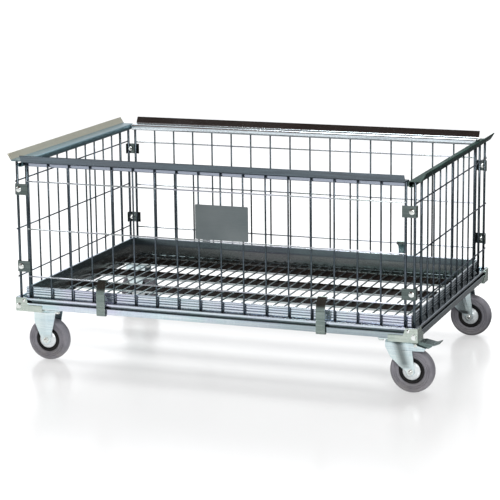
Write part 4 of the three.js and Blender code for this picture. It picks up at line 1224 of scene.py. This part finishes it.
low, high = boxOf("brake_pin_front_right")
pinX, pinY, pinZ = (low + high) / 2
pedalLow, pedalHigh = boxOf("brake_pedal_front_right")
pedal = moveShape(pedalShape(pinX, pinZ, (pedalHigh[1] - pedalLow[1]) / 2), (0, pinY, 0))
addPiece("brakePedalFrontRight", pedal, "pedalZinc", body="front_right_brake_pedal",
         nodes=["brake_pedal_front_right"],
         angle=40)
reach = (high[1] - low[1]) / 2
pin, head = plug(pedalValues["pin"], -reach, reach, 24), domeHead(*pedalValues["pinHead"])
heads = [moveShape(head, (0, pedalValues["pinHeadAt"], 0)),
         moveShape(head, (0, -pedalValues["pinHeadAt"], 0), facesFront)]
addPiece("brakePinFrontRight", moveShape(joinShapes([pin, *heads]), (pinX, pinY, pinZ)), "boltZinc",
         body="front_right_fork",
         nodes=["brake_pin_front_right"], angle=35)
print("brake done")


stageValues = {"size": 40.0, "grey": 0.42, "lift": 0.47, "gloss": 0.2, "front": 0.55, "back": 0.08,
               "glow": 0.42,
               "turn": (-0.35, -0.94, 0), "frontFrom": 0.25, "backTo": -0.35}


def buildFloor():
    # Pale floor. Reflections see it bright in front of the trolley and dim behind it on the right, as if soft
    # light fell from the front left.
    half, v = stageValues["size"] / 2, stageValues
    mesh = bpy.data.meshes.new("studioFloor")
    mesh.from_pydata([(-half, -half, 0), (half, -half, 0), (half, half, 0), (-half, half, 0)], [],
                     [(0, 1, 2, 3)])
    floor = bpy.data.objects.new("studioFloor", mesh)
    bpy.context.scene.collection.objects.link(floor)
    material, tree, shader, vector = startMaterial("studioFloor")
    aim = tree.nodes.new("ShaderNodeVectorMath")
    aim.operation = "DOT_PRODUCT"
    aim.inputs[1].default_value = v["turn"]
    tree.links.new(vector, aim.inputs[0])
    ahead = rangeNode(tree, aim.outputs["Value"], v["backTo"], v["frontFrom"])
    path, facing = tree.nodes.new("ShaderNodeLightPath"), tree.nodes.new("ShaderNodeNewGeometry")
    seen = path.outputs["Is Camera Ray"]
    shade = rangeNode(tree, ahead, 0, 1, v["back"], v["front"])
    grey = rangeNode(tree, seen, 0, 1, shade, v["grey"])
    tree.links.new(grey, shader.inputs["Base Color"])
    shader.inputs["Roughness"].default_value = v["gloss"]
    glow, both = tree.nodes.new("ShaderNodeEmission"), tree.nodes.new("ShaderNodeAddShader")
    clear, choose = tree.nodes.new("ShaderNodeBsdfTransparent"), tree.nodes.new("ShaderNodeMixShader")
    lift = rangeNode(tree, seen, 0, 1, mathNode(tree, "MULTIPLY", ahead, v["glow"]), v["lift"])
    tree.links.new(lift, glow.inputs["Strength"])
    tree.links.new(shader.outputs[0], both.inputs[0])
    tree.links.new(glow.outputs[0], both.inputs[1])
    tree.links.new(facing.outputs["Backfacing"], choose.inputs["Fac"])
    tree.links.new(both.outputs[0], choose.inputs[1])
    tree.links.new(clear.outputs[0], choose.inputs[2])
    output = next(n for n in tree.nodes if n.type == "OUTPUT_MATERIAL")
    tree.links.new(choose.outputs[0], output.inputs["Surface"])
    mesh.materials.append(material)


buildFloor()

# Each lobe of the studio: the direction to its middle, the cosines where it starts and is full, and its colour.
worldValues = {"all": (0.30, 0.31, 0.31), "lobes": [
    {"towards": (-0.33, 0.92, 0.20), "from": 0.62, "full": 0.96, "color": (1.15, 1.17, 1.2)},
    {"towards": (-0.30, -0.94, 0.16), "from": 0.90, "full": 0.97, "color": (0.85, 0.87, 0.88)},
    {"towards": (-0.33, -0.55, 0.77), "from": 0.72, "full": 0.88, "color": (0.10, 0.058, 0.048)},
    {"towards": (0.80, 0.60, 0.0), "from": 0.90, "full": 0.97, "color": (0.08, 0.10, 0.10)}]}


def buildWorld():
    # Studio round the trolley, built up from soft lobes. What the camera sees directly is white.
    world = bpy.data.worlds.new("studio")
    bpy.context.scene.world = world
    world.use_nodes = True
    tree = world.node_tree
    background = next(n for n in tree.nodes if n.type == "BACKGROUND")
    coordinates = tree.nodes.new("ShaderNodeTexCoord")
    color = (*worldValues["all"], 1)
    for lobe in worldValues["lobes"]:
        aim = tree.nodes.new("ShaderNodeVectorMath")
        aim.operation = "DOT_PRODUCT"
        aim.inputs[1].default_value = lobe["towards"]
        tree.links.new(coordinates.outputs["Generated"], aim.inputs[0])
        share = rangeNode(tree, aim.outputs["Value"], lobe["from"], lobe["full"])
        color = mixNode(tree, share, color, (*lobe["color"], 1))
    path = tree.nodes.new("ShaderNodeLightPath")
    color = mixNode(tree, path.outputs["Is Camera Ray"], color, (1, 1, 1, 1))
    tree.links.new(color, background.inputs["Color"])


buildWorld()

lamps = [
    {"name": "leftSoftbox", "place": (-3.2, 0.5, 2.2), "aim": (0, 0, 0.3), "size": (2.2, 1.6), "power": 70},
    {"name": "topSoftbox", "place": (0.3, 1.3, 3.2), "aim": (0, 0, 0.2), "size": (2.6, 1.6), "power": 110},
    {"name": "frontSoftbox", "place": (2.6, -3.8, 2.4), "aim": (0, 0, 0.2), "size": (1.6, 1.6), "power": 110},
]
for lamp in lamps:
    light = bpy.data.lights.new(lamp["name"], "AREA")
    light.shape, light.energy = "RECTANGLE", lamp["power"]
    light.size, light.size_y = lamp["size"]
    holder = bpy.data.objects.new(lamp["name"], light)
    bpy.context.scene.collection.objects.link(holder)
    spot, aim = np.array(lamp["place"]), np.array(lamp["aim"])
    back = (spot - aim) / np.linalg.norm(spot - aim)
    side = np.cross([0, 0, 1.0], back)
    side = side / np.linalg.norm(side)
    turn = np.column_stack([side, np.cross(back, side), back])
    holder.matrix_world = Matrix.Translation(spot) @ Matrix(turn.tolist()).to_4x4()

bpy.context.scene.view_settings.view_transform = "Standard"

cameraValues = {"place": (1.9107, -5.1365, 1.4561), "right": (0.93645, 0.35062, -0.01096),
                "down": (0.06274, -0.19815, -0.97816), "forward": (-0.34514, 0.91532, -0.20756),
                "lens": 136.53}
lens = bpy.data.cameras.new("camera")
lens.lens, lens.sensor_width, lens.clip_end = cameraValues["lens"], 36.0, 100.0
camera = bpy.data.objects.new("camera", lens)
bpy.context.scene.collection.objects.link(camera)
turn = np.column_stack([cameraValues["right"], -np.array(cameraValues["down"]),
                        -np.array(cameraValues["forward"])])
camera.matrix_world = Matrix.Translation(cameraValues["place"]) @ Matrix(turn.tolist()).to_4x4()
bpy.context.scene.camera = camera
print("stage done")
